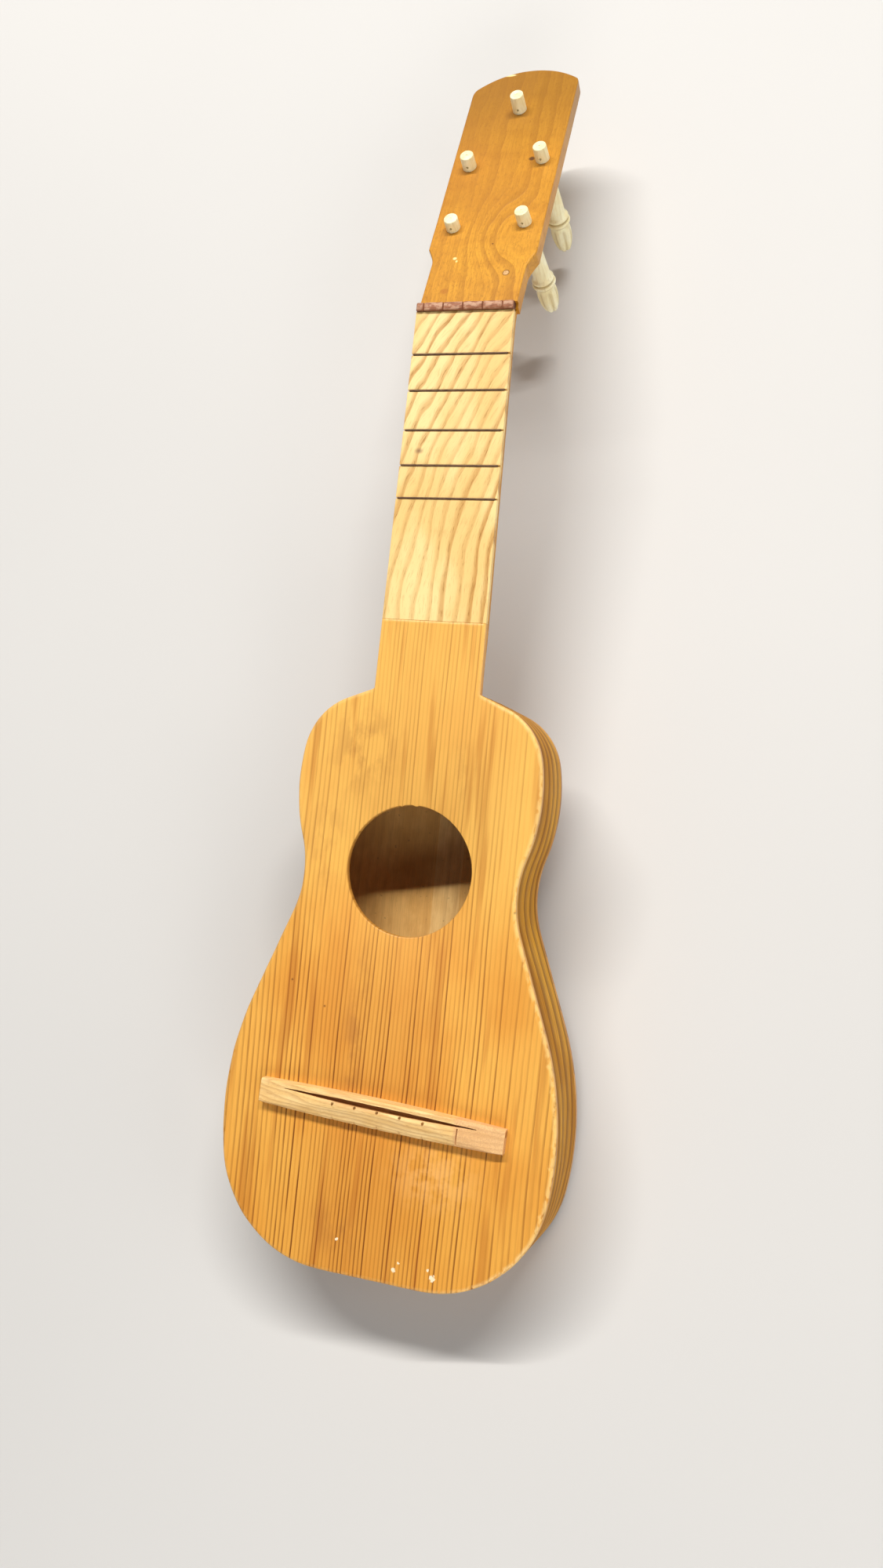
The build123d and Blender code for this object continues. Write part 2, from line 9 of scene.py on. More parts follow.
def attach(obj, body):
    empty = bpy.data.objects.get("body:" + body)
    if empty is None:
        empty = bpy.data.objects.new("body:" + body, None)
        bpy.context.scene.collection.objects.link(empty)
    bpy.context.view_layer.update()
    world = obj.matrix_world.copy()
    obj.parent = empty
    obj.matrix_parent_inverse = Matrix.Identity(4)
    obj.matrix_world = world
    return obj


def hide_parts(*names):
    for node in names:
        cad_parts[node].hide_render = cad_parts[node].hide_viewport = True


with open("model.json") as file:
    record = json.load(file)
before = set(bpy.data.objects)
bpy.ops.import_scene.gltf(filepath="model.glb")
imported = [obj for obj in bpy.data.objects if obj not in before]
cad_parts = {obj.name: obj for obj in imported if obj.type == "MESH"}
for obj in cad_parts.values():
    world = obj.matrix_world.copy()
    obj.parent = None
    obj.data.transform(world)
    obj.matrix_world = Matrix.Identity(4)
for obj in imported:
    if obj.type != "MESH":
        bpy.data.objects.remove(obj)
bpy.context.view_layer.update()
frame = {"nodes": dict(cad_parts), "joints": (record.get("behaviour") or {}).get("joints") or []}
noise.seed_set(11)

# A five-string charango, lying on its back. All shapes below are worked out in the face frame, in
# millimetres: X to the treble side, Y toward the head, Z out of the soundboard, whose face is Z = 0.

MM = 0.001
HEAD_TILT = math.radians(22.0)
HEAD_ROOT = Vector((1.2, 373.0, 0.0))
HEAD_UP = Vector((0, math.cos(HEAD_TILT), -math.sin(HEAD_TILT)))
TOP_PEG_UP_HEAD = Vector((0.4, 127.8))

joints = {joint["name"]: joint for joint in frame["joints"]}


def face_frame():
    """The matrix from the face frame in millimetres to the row frame, from the top peg's joint."""
    joint = joints["peg_top_turn"]
    tipped = HEAD_TILT - math.atan2(joint["axis"][1], joint["axis"][2])
    turn = Matrix.Rotation(tipped, 4, "X")
    peg = HEAD_ROOT + Vector((TOP_PEG_UP_HEAD.x, 0, 0)) + HEAD_UP * TOP_PEG_UP_HEAD.y
    shift = Vector(joint["pos_m"]) - turn @ (peg * MM)
    return Matrix.Translation(shift) @ turn @ Matrix.Scale(MM, 4)


FACE = face_frame()
TO_FACE = FACE.inverted()


# --- Materials ------------------------------------------------------------------------------


def srgb(red, green, blue):
    """A linear colour from screen values of 0 to 255."""
    values = [value / 255 for value in (red, green, blue)]
    linear = [v / 12.92 if v <= 0.04045 else ((v + 0.055) / 1.055) ** 2.4 for v in values]
    return (*linear, 1.0)


class Graph:
    """A material's node tree, with short calls that add a node and join it up."""

    def __init__(self, name):
        self.material = bpy.data.materials.new(name)
        self.material.use_nodes = True
        self.tree = self.material.node_tree
        self.tree.nodes.clear()

    def feed(self, socket, value):
        if isinstance(value, bpy.types.NodeSocket):
            self.tree.links.new(value, socket)
        elif value is not None:
            socket.default_value = value

    def node(self, kind, settings=None, **inputs):
        node = self.tree.nodes.new("ShaderNode" + kind)
        for key, value in (settings or {}).items():
            setattr(node, key, value)
        for name, value in inputs.items():
            self.feed(node.inputs[name.replace("_", " ")], value)
        return node

    def math(self, operation, first, second=None):
        node = self.node("Math", {"operation": operation})
        for socket, value in zip(node.inputs, (first, second)):
            self.feed(socket, value)
        return node.outputs[0]

    def add(self, first, second):
        return self.math("ADD", first, second)

    def times(self, first, second):
        return self.math("MULTIPLY", first, second)

    def less(self, first, second):
        return self.math("SUBTRACT", first, second)

    def vector(self, operation, first, second=None):
        node = self.node("VectorMath", {"operation": operation})
        self.feed(node.inputs[0], first)
        self.feed(node.inputs[1], second)
        return node.outputs["Value" if operation == "LENGTH" else "Vector"]

    def stretch(self, place, scale, shift=(0, 0, 0)):
        """A place scaled along each axis, then moved."""
        return self.vector("ADD", self.vector("MULTIPLY", place, scale), shift)

    def split(self, place):
        return self.node("SeparateXYZ", Vector=place).outputs

    def join(self, x, y, z):
        return self.node("CombineXYZ", X=x, Y=y, Z=z).outputs[0]

    def noise(self, place, scale=1.0, detail=2.0, roughness=0.5, distortion=0.0):
        node = self.node("TexNoise", Vector=place, Scale=scale, Detail=detail)
        self.feed(node.inputs["Roughness"], roughness)
        self.feed(node.inputs["Distortion"], distortion)
        return node.outputs[0]

    def step(self, value, low, high, start=0.0, end=1.0):
        """A smooth step from start at low to end at high."""
        node = self.node("MapRange", {"interpolation_type": "SMOOTHSTEP"}, Value=value)
        for name, limit in (("From Min", low), ("From Max", high), ("To Min", start), ("To Max", end)):
            self.feed(node.inputs[name], limit)
        return node.outputs[0]

    def mix(self, share, first, second):
        node = self.node("Mix", {"data_type": "RGBA"})
        self.feed(node.inputs[0], share)
        self.feed(node.inputs[6], first)
        self.feed(node.inputs[7], second)
        return node.outputs[2]

    def curve(self, value, points):
        """A smooth curve through points, of which the first and last give the value's limits."""
        node = self.node("FloatCurve", Value=value)
        track = node.mapping.curves[0]
        track.points[0].location, track.points[1].location = points[0], points[-1]
        for point in points[1:-1]:
            track.points.new(*point)
        node.mapping.update()
        return node.outputs[0]

    def random(self, value):
        """A random number for each whole number."""
        return self.node("TexWhiteNoise", {"noise_dimensions": "1D"}, W=value).outputs[0]

    def spot(self, place, centre, radii):
        """1 at a centre, falling to 0 at the edge of an ellipsoid."""
        scale = [1 / radius for radius in radii]
        shift = [-c * s for c, s in zip(centre, scale)]
        return self.step(self.vector("LENGTH", self.stretch(place, scale, shift)), 1.0, 0.0)

    def face_place(self):
        """This point in the face frame, in millimetres."""
        place = self.node("TexCoord").outputs["Object"]
        move, turn, scale = TO_FACE.decompose()
        mapping = self.node("Mapping", Vector=place)
        mapping.inputs["Location"].default_value = move
        mapping.inputs["Rotation"].default_value = turn.to_euler()
        mapping.inputs["Scale"].default_value = scale
        return mapping.outputs[0]

    def head_place(self):
        """This point on the head, in millimetres: across it, up it, and out of its face."""
        turn = Matrix.Rotation(HEAD_TILT, 3, "X")
        mapping = self.node("Mapping", Vector=self.face_place())
        mapping.inputs["Location"].default_value = -(turn @ HEAD_ROOT)
        mapping.inputs["Rotation"].default_value = turn.to_euler()
        return mapping.outputs[0]

    def finish(self, colour, roughness, height=None, relief=0.1, coat=0.0, gloss=0.35, metal=0.0):
        """Joins the shader up. The height is in units of the relief, which is in millimetres."""
        shader = self.node("BsdfPrincipled")
        shader.inputs["Specular IOR Level"].default_value = gloss
        shader.inputs["Metallic"].default_value = metal
        self.feed(shader.inputs["Base Color"], colour)
        self.feed(shader.inputs["Roughness"], roughness)
        shader.inputs["Coat Weight"].default_value = coat
        shader.inputs["Coat Roughness"].default_value = 0.22
        if height is not None:
            bump = self.node("Bump", Height=height)
            bump.inputs["Distance"].default_value = relief * MM
            self.feed(shader.inputs["Normal"], bump.outputs[0])
        output = self.node("OutputMaterial")
        self.tree.links.new(shader.outputs[0], output.inputs["Surface"])
        return self.material


def ring_line(g, rings, rise=0.45, peak=0.86, fall=0.97):
    """How dark one growth ring is: it darkens slowly, then stops at a sharp edge."""
    share = g.math("FRACT", rings)
    return g.times(g.step(share, rise, peak), g.step(share, 1.0, fall))


PAINT_FLECKS = (
    (-16.8, -61.5, 1.5), (12.0, -70.0, 2.2), (14.0, -66.5, 1.3), (30.5, -70.0, 2.9), (28.0, -67.0, 1.4),
)
DARK_DOTS = ((-51.9, 52.9), (-34.3, 42.8), (52.0, 96.0))


def pine_material(name):
    """Varnished pine: straight, dark late-wood lines that lie close in the middle."""
    g = Graph(name)
    place = g.face_place()
    x, y, z = g.split(place)
    sway = g.noise(g.stretch(place, (0.012, 0.0045, 0.012)), 1, 2)
    x = g.add(x, g.times(g.less(sway, 0.5), 7.0))
    across = g.add(g.times(x, 1 / 180), 0.5)
    spread = [(0, 0), (0.25, 0.22), (0.5, 0.5), (0.75, 0.78), (1, 1)]
    rings = g.times(g.curve(across, spread), 78)
    line = ring_line(g, rings, 0.46, 0.82, 0.93)
    strength = g.step(g.random(g.math("FLOOR", rings)), 0.0, 0.9, 0.25, 1.0)
    along = g.noise(g.stretch(place, (0.6, 0.022, 0.6)), 1, 3, 0.6)
    line = g.times(g.times(line, strength), g.step(along, 0.3, 0.56, 0.45, 1.0))
    toward_tail = g.step(y, 150.0, -10.0, 0.42, 1.0)
    near_middle = g.step(g.math("ABSOLUTE", g.add(x, 6.0)), 75.0, 28.0, 0.55, 1.0)
    line = g.times(line, g.times(toward_tail, near_middle))
    patches = g.noise(g.stretch(place, (0.022, 0.012, 0.02), (3, 1, 0)), 1, 3, 0.55)
    colour = g.mix(g.step(patches, 0.35, 0.68), srgb(241, 181, 84), srgb(226, 156, 62))
    fibres = g.noise(g.stretch(place, (5.0, 0.09, 5.0)), 1, 3, 0.6)
    colour = g.mix(g.step(fibres, 0.35, 0.75, 0.0, 0.35), colour, srgb(206, 130, 50))
    upper = g.step(y, 60.0, 140.0)
    colour = g.mix(g.times(upper, 0.42), colour, srgb(250, 200, 106))
    lower = g.step(y, 30.0, -60.0)
    colour = g.mix(g.times(lower, 0.35), colour, srgb(222, 150, 48))
    dense = g.step(g.math("ABSOLUTE", g.add(x, 8.0)), 40.0, 8.0)
    dense = g.times(dense, g.step(y, 110.0, 40.0, 0.25, 1.0))
    colour = g.mix(g.times(dense, 0.45), colour, srgb(200, 124, 42))
    colour = g.mix(line, colour, srgb(112, 56, 8))
    streak = g.noise(g.stretch(place, (0.16, 0.010, 0.2), (0, 4, 0)), 1, 2, 0.5)
    colour = g.mix(g.step(streak, 0.54, 0.70, 0.0, 0.42), colour, srgb(172, 98, 30))
    grime = g.add(g.spot(place, (-28, 164, 0), (26, 34, 9)), g.spot(place, (-18, 32, 0), (9, 60, 9)))
    grime = g.add(grime, g.times(g.spot(place, (-19, -57, 0), (18, 18, 9)), 0.8))
    grime = g.add(grime, g.times(g.spot(place, (21, 156, 0), (12, 26, 9)), 0.5))
    grime = g.add(grime, g.times(g.spot(place, (-42, 118, 0), (16, 40, 9)), 0.7))
    grime = g.times(grime, g.step(g.noise(g.stretch(place, (0.11, 0.05, 0.1)), 1, 4, 0.6), 0.42, 0.62))
    colour = g.mix(g.times(grime, 0.38), colour, srgb(150, 90, 44))
    worn = g.spot(place, (27, -26, 0), (30, 22, 9))
    scuffs = g.noise(g.stretch(place, (0.12, 0.12, 0.1), (4, 0, 0)), 1, 3, 0.6)
    worn = g.times(worn, g.step(scuffs, 0.36, 0.60))
    colour = g.mix(g.times(worn, 0.42), colour, srgb(250, 192, 118))
    rough = g.less(g.noise(g.stretch(place, (0.9, 0.9, 0.9)), 1, 2), 0.5)
    for across_board, up_board, size in PAINT_FLECKS:
        fleck = g.spot(place, (across_board, up_board, 0), (size, size, 9))
        fleck = g.step(g.add(fleck, g.times(rough, 1.6)), 0.50, 0.64)
        colour = g.mix(g.times(fleck, 0.85), colour, srgb(255, 240, 205))
    for across_board, up_board in DARK_DOTS:
        dot = g.spot(place, (across_board, up_board, 0), (0.9, 0.9, 9))
        colour = g.mix(g.times(dot, 0.8), colour, srgb(96, 50, 18))
    rim = g.node("Attribute", {"attribute_name": "rim"}).outputs["Fac"]
    chips = g.noise(g.stretch(place, (0.5, 0.22, 0.5), (0, 0, 5)), 1, 3, 0.6)
    right = g.step(x, 20.0, 55.0, 0.35, 1.0)
    bare = g.times(rim, g.times(right, g.step(chips, 0.36, 0.52)))
    colour = g.mix(g.times(bare, 0.62), colour, srgb(252, 214, 136))
    side = g.step(z, -0.8, -1.6)
    colour = g.mix(g.times(side, 0.45), colour, srgb(186, 120, 44))
    roughness = g.step(patches, 0.3, 0.7, 0.36, 0.46)
    height = g.add(g.times(line, 0.6), g.times(fibres, 0.4))
    return g.finish(colour, roughness, height, 0.10, coat=0.08)


def rib_material(name):
    """The bent sides: long growth lines that run round the body, parallel to its edges."""
    g = Graph(name)
    place = g.face_place()
    z = g.split(place)[2]
    sway = g.noise(g.stretch(place, (0.010, 0.010, 0.03), (2, 0, 0)), 1, 2, 0.45)
    rings = g.add(g.times(z, 0.105), g.times(sway, 2.6))
    line = ring_line(g, rings, 0.25, 0.85, 0.95)
    fine = ring_line(g, g.times(rings, 4.0), 0.3, 0.8, 0.95)
    fibres = g.noise(g.stretch(place, (0.10, 0.10, 2.4)), 1, 4, 0.6)
    patches = g.noise(g.stretch(place, (0.02, 0.02, 0.05), (7, 0, 0)), 1, 3, 0.5)
    colour = g.mix(g.step(patches, 0.32, 0.68), srgb(228, 168, 48), srgb(198, 134, 28))
    colour = g.mix(g.step(fibres, 0.4, 0.75, 0.0, 0.45), colour, srgb(146, 86, 14))
    colour = g.mix(g.times(line, 0.62), colour, srgb(112, 62, 14))
    colour = g.mix(g.times(fine, 0.22), colour, srgb(120, 70, 18))
    height = g.add(g.times(line, 0.5), g.times(fibres, 0.6))
    return g.finish(colour, g.step(patches, 0.3, 0.7, 0.40, 0.50), height, 0.12, gloss=0.04)


def back_material(name, tan, pale):
    """A back board: varnished outside, bare and paler inside the body."""
    g = Graph(name)
    place = g.face_place()
    x, y, z = g.split(place)
    sway = g.noise(g.stretch(place, (0.015, 0.004, 0.015), (9, 3, 0)), 1, 2)
    rings = g.add(g.times(x, 0.22), g.times(sway, 2.2))
    strength = g.step(g.random(g.math("FLOOR", rings)), 0, 1, 0.3, 1)
    line = g.times(ring_line(g, rings, 0.4, 0.85, 0.96), strength)
    fibres = g.noise(g.stretch(place, (4.0, 0.08, 4.0)), 1, 4, 0.6)
    mottle = g.noise(g.stretch(place, (0.09, 0.05, 0.09)), 1, 4, 0.6)
    outside = g.mix(g.step(mottle, 0.35, 0.65), srgb(220, 160, 72), srgb(192, 128, 48))
    outside = g.mix(g.times(line, 0.6), outside, srgb(128, 72, 20))
    inside = g.mix(g.step(mottle, 0.35, 0.65), tan, pale)
    inside = g.mix(g.times(line, 0.18), inside, srgb(150, 104, 56))
    specks = g.noise(place, 0.45, 1, 0.4)
    inside = g.mix(g.step(specks, 0.72, 0.78, 0.0, 0.35), inside, srgb(96, 62, 34))
    level = g.less(z, g.times(g.add(y, 77.2), 0.020))
    is_inside = g.step(level, -41.4, -41.0)
    colour = g.mix(is_inside, outside, inside)
    colour = g.mix(g.step(fibres, 0.4, 0.75, 0.0, 0.25), colour, srgb(150, 98, 44))
    roughness = g.step(is_inside, 0, 1, 0.42, 0.75)
    height = g.add(g.times(line, 0.4), g.times(fibres, 0.6))
    return g.finish(colour, roughness, height, 0.10)


def inner_material(name):
    """Bare pale wood for the blocks, linings and braces, with painted shade: its tones are darkened and
    reddened for the dim inside of the body.
    """
    g = Graph(name)
    place = g.face_place()
    fibres = g.noise(g.stretch(place, (0.4, 1.6, 2.4)), 1, 4, 0.6)
    mottle = g.noise(g.stretch(place, (0.06, 0.06, 0.06)), 1, 3, 0.5)
    # painted shade: both tones are darker and redder than the bare wood, to stand for the dim light inside
    # the body
    colour = g.mix(g.step(mottle, 0.35, 0.65), srgb(186, 128, 66), srgb(164, 106, 48))
    colour = g.mix(g.step(fibres, 0.4, 0.75, 0.0, 0.4), colour, srgb(172, 126, 72))
    return g.finish(colour, 0.7, fibres, 0.12)


def ash_material(name):
    """The fretboard: pale ash, with broad porous rings that bend toward the treble side."""
    g = Graph(name)
    place = g.face_place()
    x, y, z = g.split(place)
    rise = g.less(y, 222.0)
    bent = g.less(x, g.times(g.times(rise, rise), 0.0021))
    sway = g.noise(g.stretch(place, (0.05, 0.016, 0.05), (1, 7, 0)), 1, 2, 0.5)
    bent = g.add(bent, g.times(g.less(sway, 0.5), 12.0))
    rings = g.add(g.times(bent, 1 / 6.6), 0.42)
    band = g.math("FRACT", rings)
    band = g.times(g.step(band, 0.42, 0.84), g.step(band, 1.0, 0.90))
    strength = g.step(g.random(g.math("FLOOR", rings)), 0.0, 1.0, 0.45, 1.0)
    band = g.times(band, strength)
    grain = g.join(g.times(bent, 2.2), g.times(y, 0.16), g.times(z, 0.5))
    pores = g.noise(grain, 1, 3, 0.65)
    patches = g.noise(g.stretch(place, (0.04, 0.02, 0.04), (5, 0, 0)), 1, 2)
    colour = g.mix(g.step(patches, 0.35, 0.65), srgb(249, 219, 152), srgb(238, 200, 126))
    colour = g.mix(g.times(band, 0.76), colour, srgb(190, 132, 58))
    dashes = g.times(g.step(pores, 0.52, 0.70), g.step(band, 0.0, 1.0, 0.35, 1.0))
    colour = g.mix(g.times(dashes, 0.80), colour, srgb(164, 104, 38))
    stain = g.spot(place, (-15.5, 304, 0), (3.0, 2.0, 9))
    colour = g.mix(g.times(stain, 0.75), colour, srgb(120, 84, 62))
    height = g.less(g.times(pores, 0.5), g.times(dashes, 0.8))
    return g.finish(colour, g.step(patches, 0.3, 0.7, 0.42, 0.52), height, 0.14, coat=0.05)


PEG_PLACES = ((0.4, 127.8), (-17.9, 89.7), (18.7, 92.0), (-17.6, 48.9), (17.7, 50.3))
HEAD_MARKS = (
    (-12.5, 28.8, (1.6, 1.4), 0.9, srgb(255, 232, 160)),
    (-11.3, 27.0, (0.9, 1.2), 0.8, srgb(255, 226, 150)),
    (13.3, 92.6, (2.6, 2.2), 0.9, srgb(84, 50, 24)),
    (-13.4, 8.3, (3.4, 3.0), 0.5, srgb(166, 92, 30)),
    (14.7, 18.6, (2.9, 2.9), 0.9, srgb(84, 46, 20)),
    (4.5, 37.3, (0.8, 0.8), 0.8, srgb(104, 58, 22)),
    (-9.7, 153.6, (5.4, 1.2), 0.95, srgb(248, 226, 160)),
)


def head_material(name):
    """The neck and head: warm brown wood with a curled figure on the head's face."""
    g = Graph(name)
    place = g.head_place()
    across, up_head = g.split(place)[:2]
    warp = g.noise(g.stretch(place, (0.030, 0.012, 0.030), (4, 2, 1)), 1, 3, 0.55)
    figure = g.times(g.spot(place, (8, 44, 0), (22, 34, 60)), 2.0)
    rings = g.add(g.add(g.times(across, 0.13), g.times(warp, 2.6)), figure)
    line = ring_line(g, rings, 0.35, 0.84, 0.96)
    line = g.times(line, g.step(g.random(g.math("FLOOR", rings)), 0, 1, 0.35, 1.0))
    fine = ring_line(g, g.times(rings, 3.0), 0.3, 0.8, 0.96)
    fibres = g.noise(g.stretch(place, (1.6, 0.14, 1.6)), 1, 4, 0.66)
    curled = g.join(g.times(across, 0.9), g.times(up_head, 0.55), g.times(rings, 1.2))
    curl = g.noise(curled, 1, 3, 0.6, 0.6)
    flame = g.noise(g.stretch(place, (0.05, 0.11, 0.05), (0, 5, 0)), 1, 2, 0.5)
    patches = g.noise(g.stretch(place, (0.02, 0.012, 0.02), (2, 2, 0)), 1, 2)
    colour = g.mix(g.step(patches, 0.35, 0.65), srgb(224, 161, 50), srgb(206, 142, 38))
    colour = g.mix(g.step(flame, 0.45, 0.70, 0.0, 0.28), colour, srgb(184, 118, 28))
    colour = g.mix(g.step(fibres, 0.42, 0.78, 0.0, 0.55), colour, srgb(158, 98, 24))
    colour = g.mix(g.step(curl, 0.50, 0.72, 0.0, 0.40), colour, srgb(150, 92, 24))
    colour = g.mix(g.times(fine, 0.12), colour, srgb(150, 90, 22))
    colour = g.mix(g.times(line, 0.36), colour, srgb(140, 84, 22))
    colour = g.mix(g.step(up_head, 20.0, 75.0, 0.0, 0.38), colour, srgb(180, 118, 32))
    colour = g.mix(g.step(up_head, 80.0, 145.0, 0.0, 0.55), colour, srgb(134, 92, 28))
    grime = None
    for x, y in PEG_PLACES:
        spot = g.spot(place, (x, y, 0), (6.5, 6.5, 3.0))
        grime = spot if grime is None else g.add(grime, spot)
    colour = g.mix(g.times(grime, 0.30), colour, srgb(140, 82, 30))
    for x, y, size, share, mark in HEAD_MARKS:
        spot = g.step(g.spot(place, (x, y, 0), (*size, 2.0)), 0.1, 0.7)
        colour = g.mix(g.times(spot, share), colour, mark)
    height = g.add(g.times(line, 0.4), g.times(fibres, 0.6))
    return g.finish(colour, g.step(patches, 0.3, 0.7, 0.38, 0.48), height, 0.10, coat=0.06, gloss=0.3)


BRIDGE_CENTRE = (-1.2, -1.7)
BRIDGE_TURN = -2.3
BRIDGE_HALF = 59.5
BRIDGE_TOP = 7.0
BRIDGE_END = 4.3
BRIDGE_ARCH = 2.7
TIE_CREST = 0.6
TIE_FALL = math.tan(math.radians(23))
SLOT_Y = 3.2
STRING_GAP = 11.0
SAW_X = 38.0
STRING_HOLE = ((-8.6, 0.2), (6.0, 9.32), 0.7)
HOLE_MOUTH = ((-8.2, 2.9), (-5.0, 5.3), 1.3, 0.35)


def bridge_material(name):
    """The bridge: pale bare hardwood, with short dark pores and saw-rough ends."""
    g = Graph(name)
    place = g.face_place()
    x, y, z = g.split(place)
    sway = g.noise(g.stretch(place, (0.03, 0.2, 0.2)), 1, 2)
    rings = g.add(g.add(g.times(y, 0.42), g.times(z, 0.5)), g.add(g.times(x, 0.03), g.times(sway, 2.0)))
    line = ring_line(g, rings, 0.3, 0.8, 0.95)
    pores = g.noise(g.stretch(place, (0.35, 4.2, 4.2)), 1, 3, 0.65)
    mottle = g.noise(g.stretch(place, (0.08, 0.3, 0.3), (1, 1, 1)), 1, 3)
    colour = g.mix(g.step(mottle, 0.35, 0.65), srgb(249, 213, 148), srgb(240, 197, 127))
    colour = g.mix(g.times(line, 0.42), colour, srgb(196, 142, 84))
    colour = g.mix(g.step(pores, 0.55, 0.72, 0.0, 0.60), colour, srgb(172, 116, 62))
    sawn = g.step(x, 34.5, 36.5)
    grit = g.noise(place, 1.6, 4, 0.7)
    colour = g.mix(g.times(sawn, g.step(grit, 0.4, 0.65, 0.0, 0.6)), colour, srgb(196, 142, 98))
    colour = g.mix(g.times(sawn, 0.45), colour, srgb(236, 178, 124))
    from_left = g.less(x, BRIDGE_CENTRE[0])
    level_y = g.add(g.less(y, BRIDGE_CENTRE[1]), g.times(from_left, -math.tan(math.radians(BRIDGE_TURN))))
    off_slot = g.math("ABSOLUTE", g.less(level_y, SLOT_Y))
    share = g.times(from_left, 1 / BRIDGE_HALF)
    crest = g.less(BRIDGE_TOP, g.times(g.times(share, share), BRIDGE_ARCH))
    sunk = g.step(g.less(crest, z), 0.5, 1.6)
    # painted shade: the saddle slot is darkened more the deeper it lies below the crest
    slot_shade = g.times(g.step(off_slot, 1.6, 1.1), sunk)
    colour = g.mix(g.times(slot_shade, 0.8), colour, srgb(176, 118, 64))
    height = g.add(g.times(pores, -0.5), g.times(g.times(sawn, grit), 1.2))
    return g.finish(colour, 0.55, height, 0.22, gloss=0.3)


def nut_material(name):
    """The nut: reddish-brown hardwood, dusty on top, with painted shade that makes its lower faces nearly
    black.
    """
    g = Graph(name)
    place = g.face_place()
    z = g.split(place)[2]
    fibres = g.noise(g.stretch(place, (0.25, 2.6, 2.6)), 1, 4, 0.65)
    dust = g.noise(g.stretch(place, (0.3, 0.6, 0.6), (4, 0, 0)), 1, 3, 0.6)
    colour = g.mix(g.step(fibres, 0.4, 0.7), srgb(166, 108, 76), srgb(112, 62, 38))
    dusty = g.times(g.step(dust, 0.42, 0.62), g.step(z, 0.8, 1.6, 0.0, 0.6))
    colour = g.mix(dusty, colour, srgb(220, 178, 146))
    # painted shade: the faces low on the nut are darkened, nearly black at the bottom
    colour = g.mix(g.step(z, 1.0, 0.2, 0.0, 0.55), colour, srgb(58, 28, 18))
    return g.finish(colour, 0.55, fibres, 0.12)


def fret_material(name):
    """A dark, tarnished metal strip."""
    g = Graph(name)
    place = g.face_place()
    rub = g.noise(g.stretch(place, (0.5, 2.0, 2.0)), 1, 3, 0.6)
    colour = g.mix(g.step(rub, 0.4, 0.7), srgb(118, 90, 66), srgb(78, 56, 42))
    return g.finish(colour, g.step(rub, 0.3, 0.7, 0.42, 0.6), rub, 0.03, metal=0.3)


def peg_material(name):
    """The pegs: pale, close-grained boxwood, a little yellowed in the grooves."""
    g = Graph(name)
    place = g.head_place()
    streaks = g.noise(g.stretch(place, (1.2, 1.2, 0.07)), 1, 3, 0.6)
    mottle = g.noise(g.stretch(place, (0.16, 0.16, 0.10), (2, 5, 1)), 1, 3, 0.5)
    colour = g.mix(g.step(mottle, 0.35, 0.65), srgb(255, 250, 212), srgb(248, 236, 186))
    colour = g.mix(g.step(streaks, 0.45, 0.75, 0.0, 0.45), colour, srgb(206, 182, 120))
    groove = g.node("Attribute", {"attribute_name": "groove"}).outputs["Fac"]
    colour = g.mix(g.times(groove, 0.55), colour, srgb(178, 150, 92))
    return g.finish(colour, 0.38, streaks, 0.05, coat=0.1)


def plug_material(name):
    """The plug in the head: pale end grain."""
    g = Graph(name)
    place = g.face_place()
    grit = g.noise(place, 2.2, 3, 0.6)
    colour = g.mix(g.step(grit, 0.4, 0.6), srgb(226, 184, 128), srgb(190, 142, 88))
    return g.finish(colour, 0.6, grit, 0.1)


pine = pine_material("pine")
rib_wood = rib_material("rib_wood")
back_tan = back_material("back_tan", srgb(240, 190, 112), srgb(222, 170, 94))
back_pale = back_material("back_pale", srgb(248, 206, 134), srgb(234, 188, 116))
inner_wood = inner_material("inner_wood")
ash = ash_material("ash")
head_wood = head_material("head_wood")
bridge_wood = bridge_material("bridge_wood")
nut_wood = nut_material("nut_wood")
fret_metal = fret_material("fret_metal")
boxwood = peg_material("boxwood")
plug_wood = plug_material("plug_wood")

NODE_MATERIALS = {
    "soundboard": pine, "fretboard": ash, "nut": nut_wood, "bridge": bridge_wood, "neck": head_wood,
    "head_plug": plug_wood, "rib_left": rib_wood, "rib_right": rib_wood, "back_board_left": back_tan,
    "back_board_middle": back_pale, "back_board_right": back_tan, "neck_block": head_wood,
}
PREFIX_MATERIALS = {"fret_": fret_metal, "peg_": boxwood}

for node_name, node in frame["nodes"].items():
    material = NODE_MATERIALS.get(node_name, inner_wood)
    for prefix, special in PREFIX_MATERIALS.items():
        if node_name.startswith(prefix):
            material = special
    node.data.materials.clear()
    node.data.materials.append(material)


# --- Mesh building --------------------------------------------------------------------------


def add_piece(name, bm, material, body, nodes, place=FACE, sharp=35):
    """Makes an object of a mesh in millimetres, which stands for some CAD nodes on a body."""
    bmesh.ops.remove_doubles(bm, verts=bm.verts, dist=1e-5)
    bmesh.ops.recalc_face_normals(bm, faces=bm.faces)
    for face in bm.faces:
        face.smooth = True
    for edge in bm.edges:
        edge.smooth = len(edge.link_faces) == 2 and edge.calc_face_angle() < math.radians(sharp)
    mesh = bpy.data.meshes.new(name)
    bm.to_mesh(mesh)
    bm.free()
    mesh.materials.append(material)
    piece = bpy.data.objects.new(name, mesh)
    bpy.context.scene.collection.objects.link(piece)
    mesh.transform(place)
    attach(piece, body)
    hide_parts(*nodes)
    return piece


def ring_of(bm, points, values=None, layer=None):
    """A closed ring of vertices, with a value for each one in a float layer."""
    ring = [bm.verts.new(point) for point in points]
    if layer is not None:
        for vertex, value in zip(ring, values):
            vertex[layer] = value
    return ring


def skin(bm, rings, closed=True):
    """Faces between each ring and the next."""
    for first, second in zip(rings, rings[1:]):
        count = len(first) if closed else len(first) - 1
        for i in range(count):
            j = (i + 1) % len(first)
            bm.faces.new((first[i], first[j], second[j], second[i]))


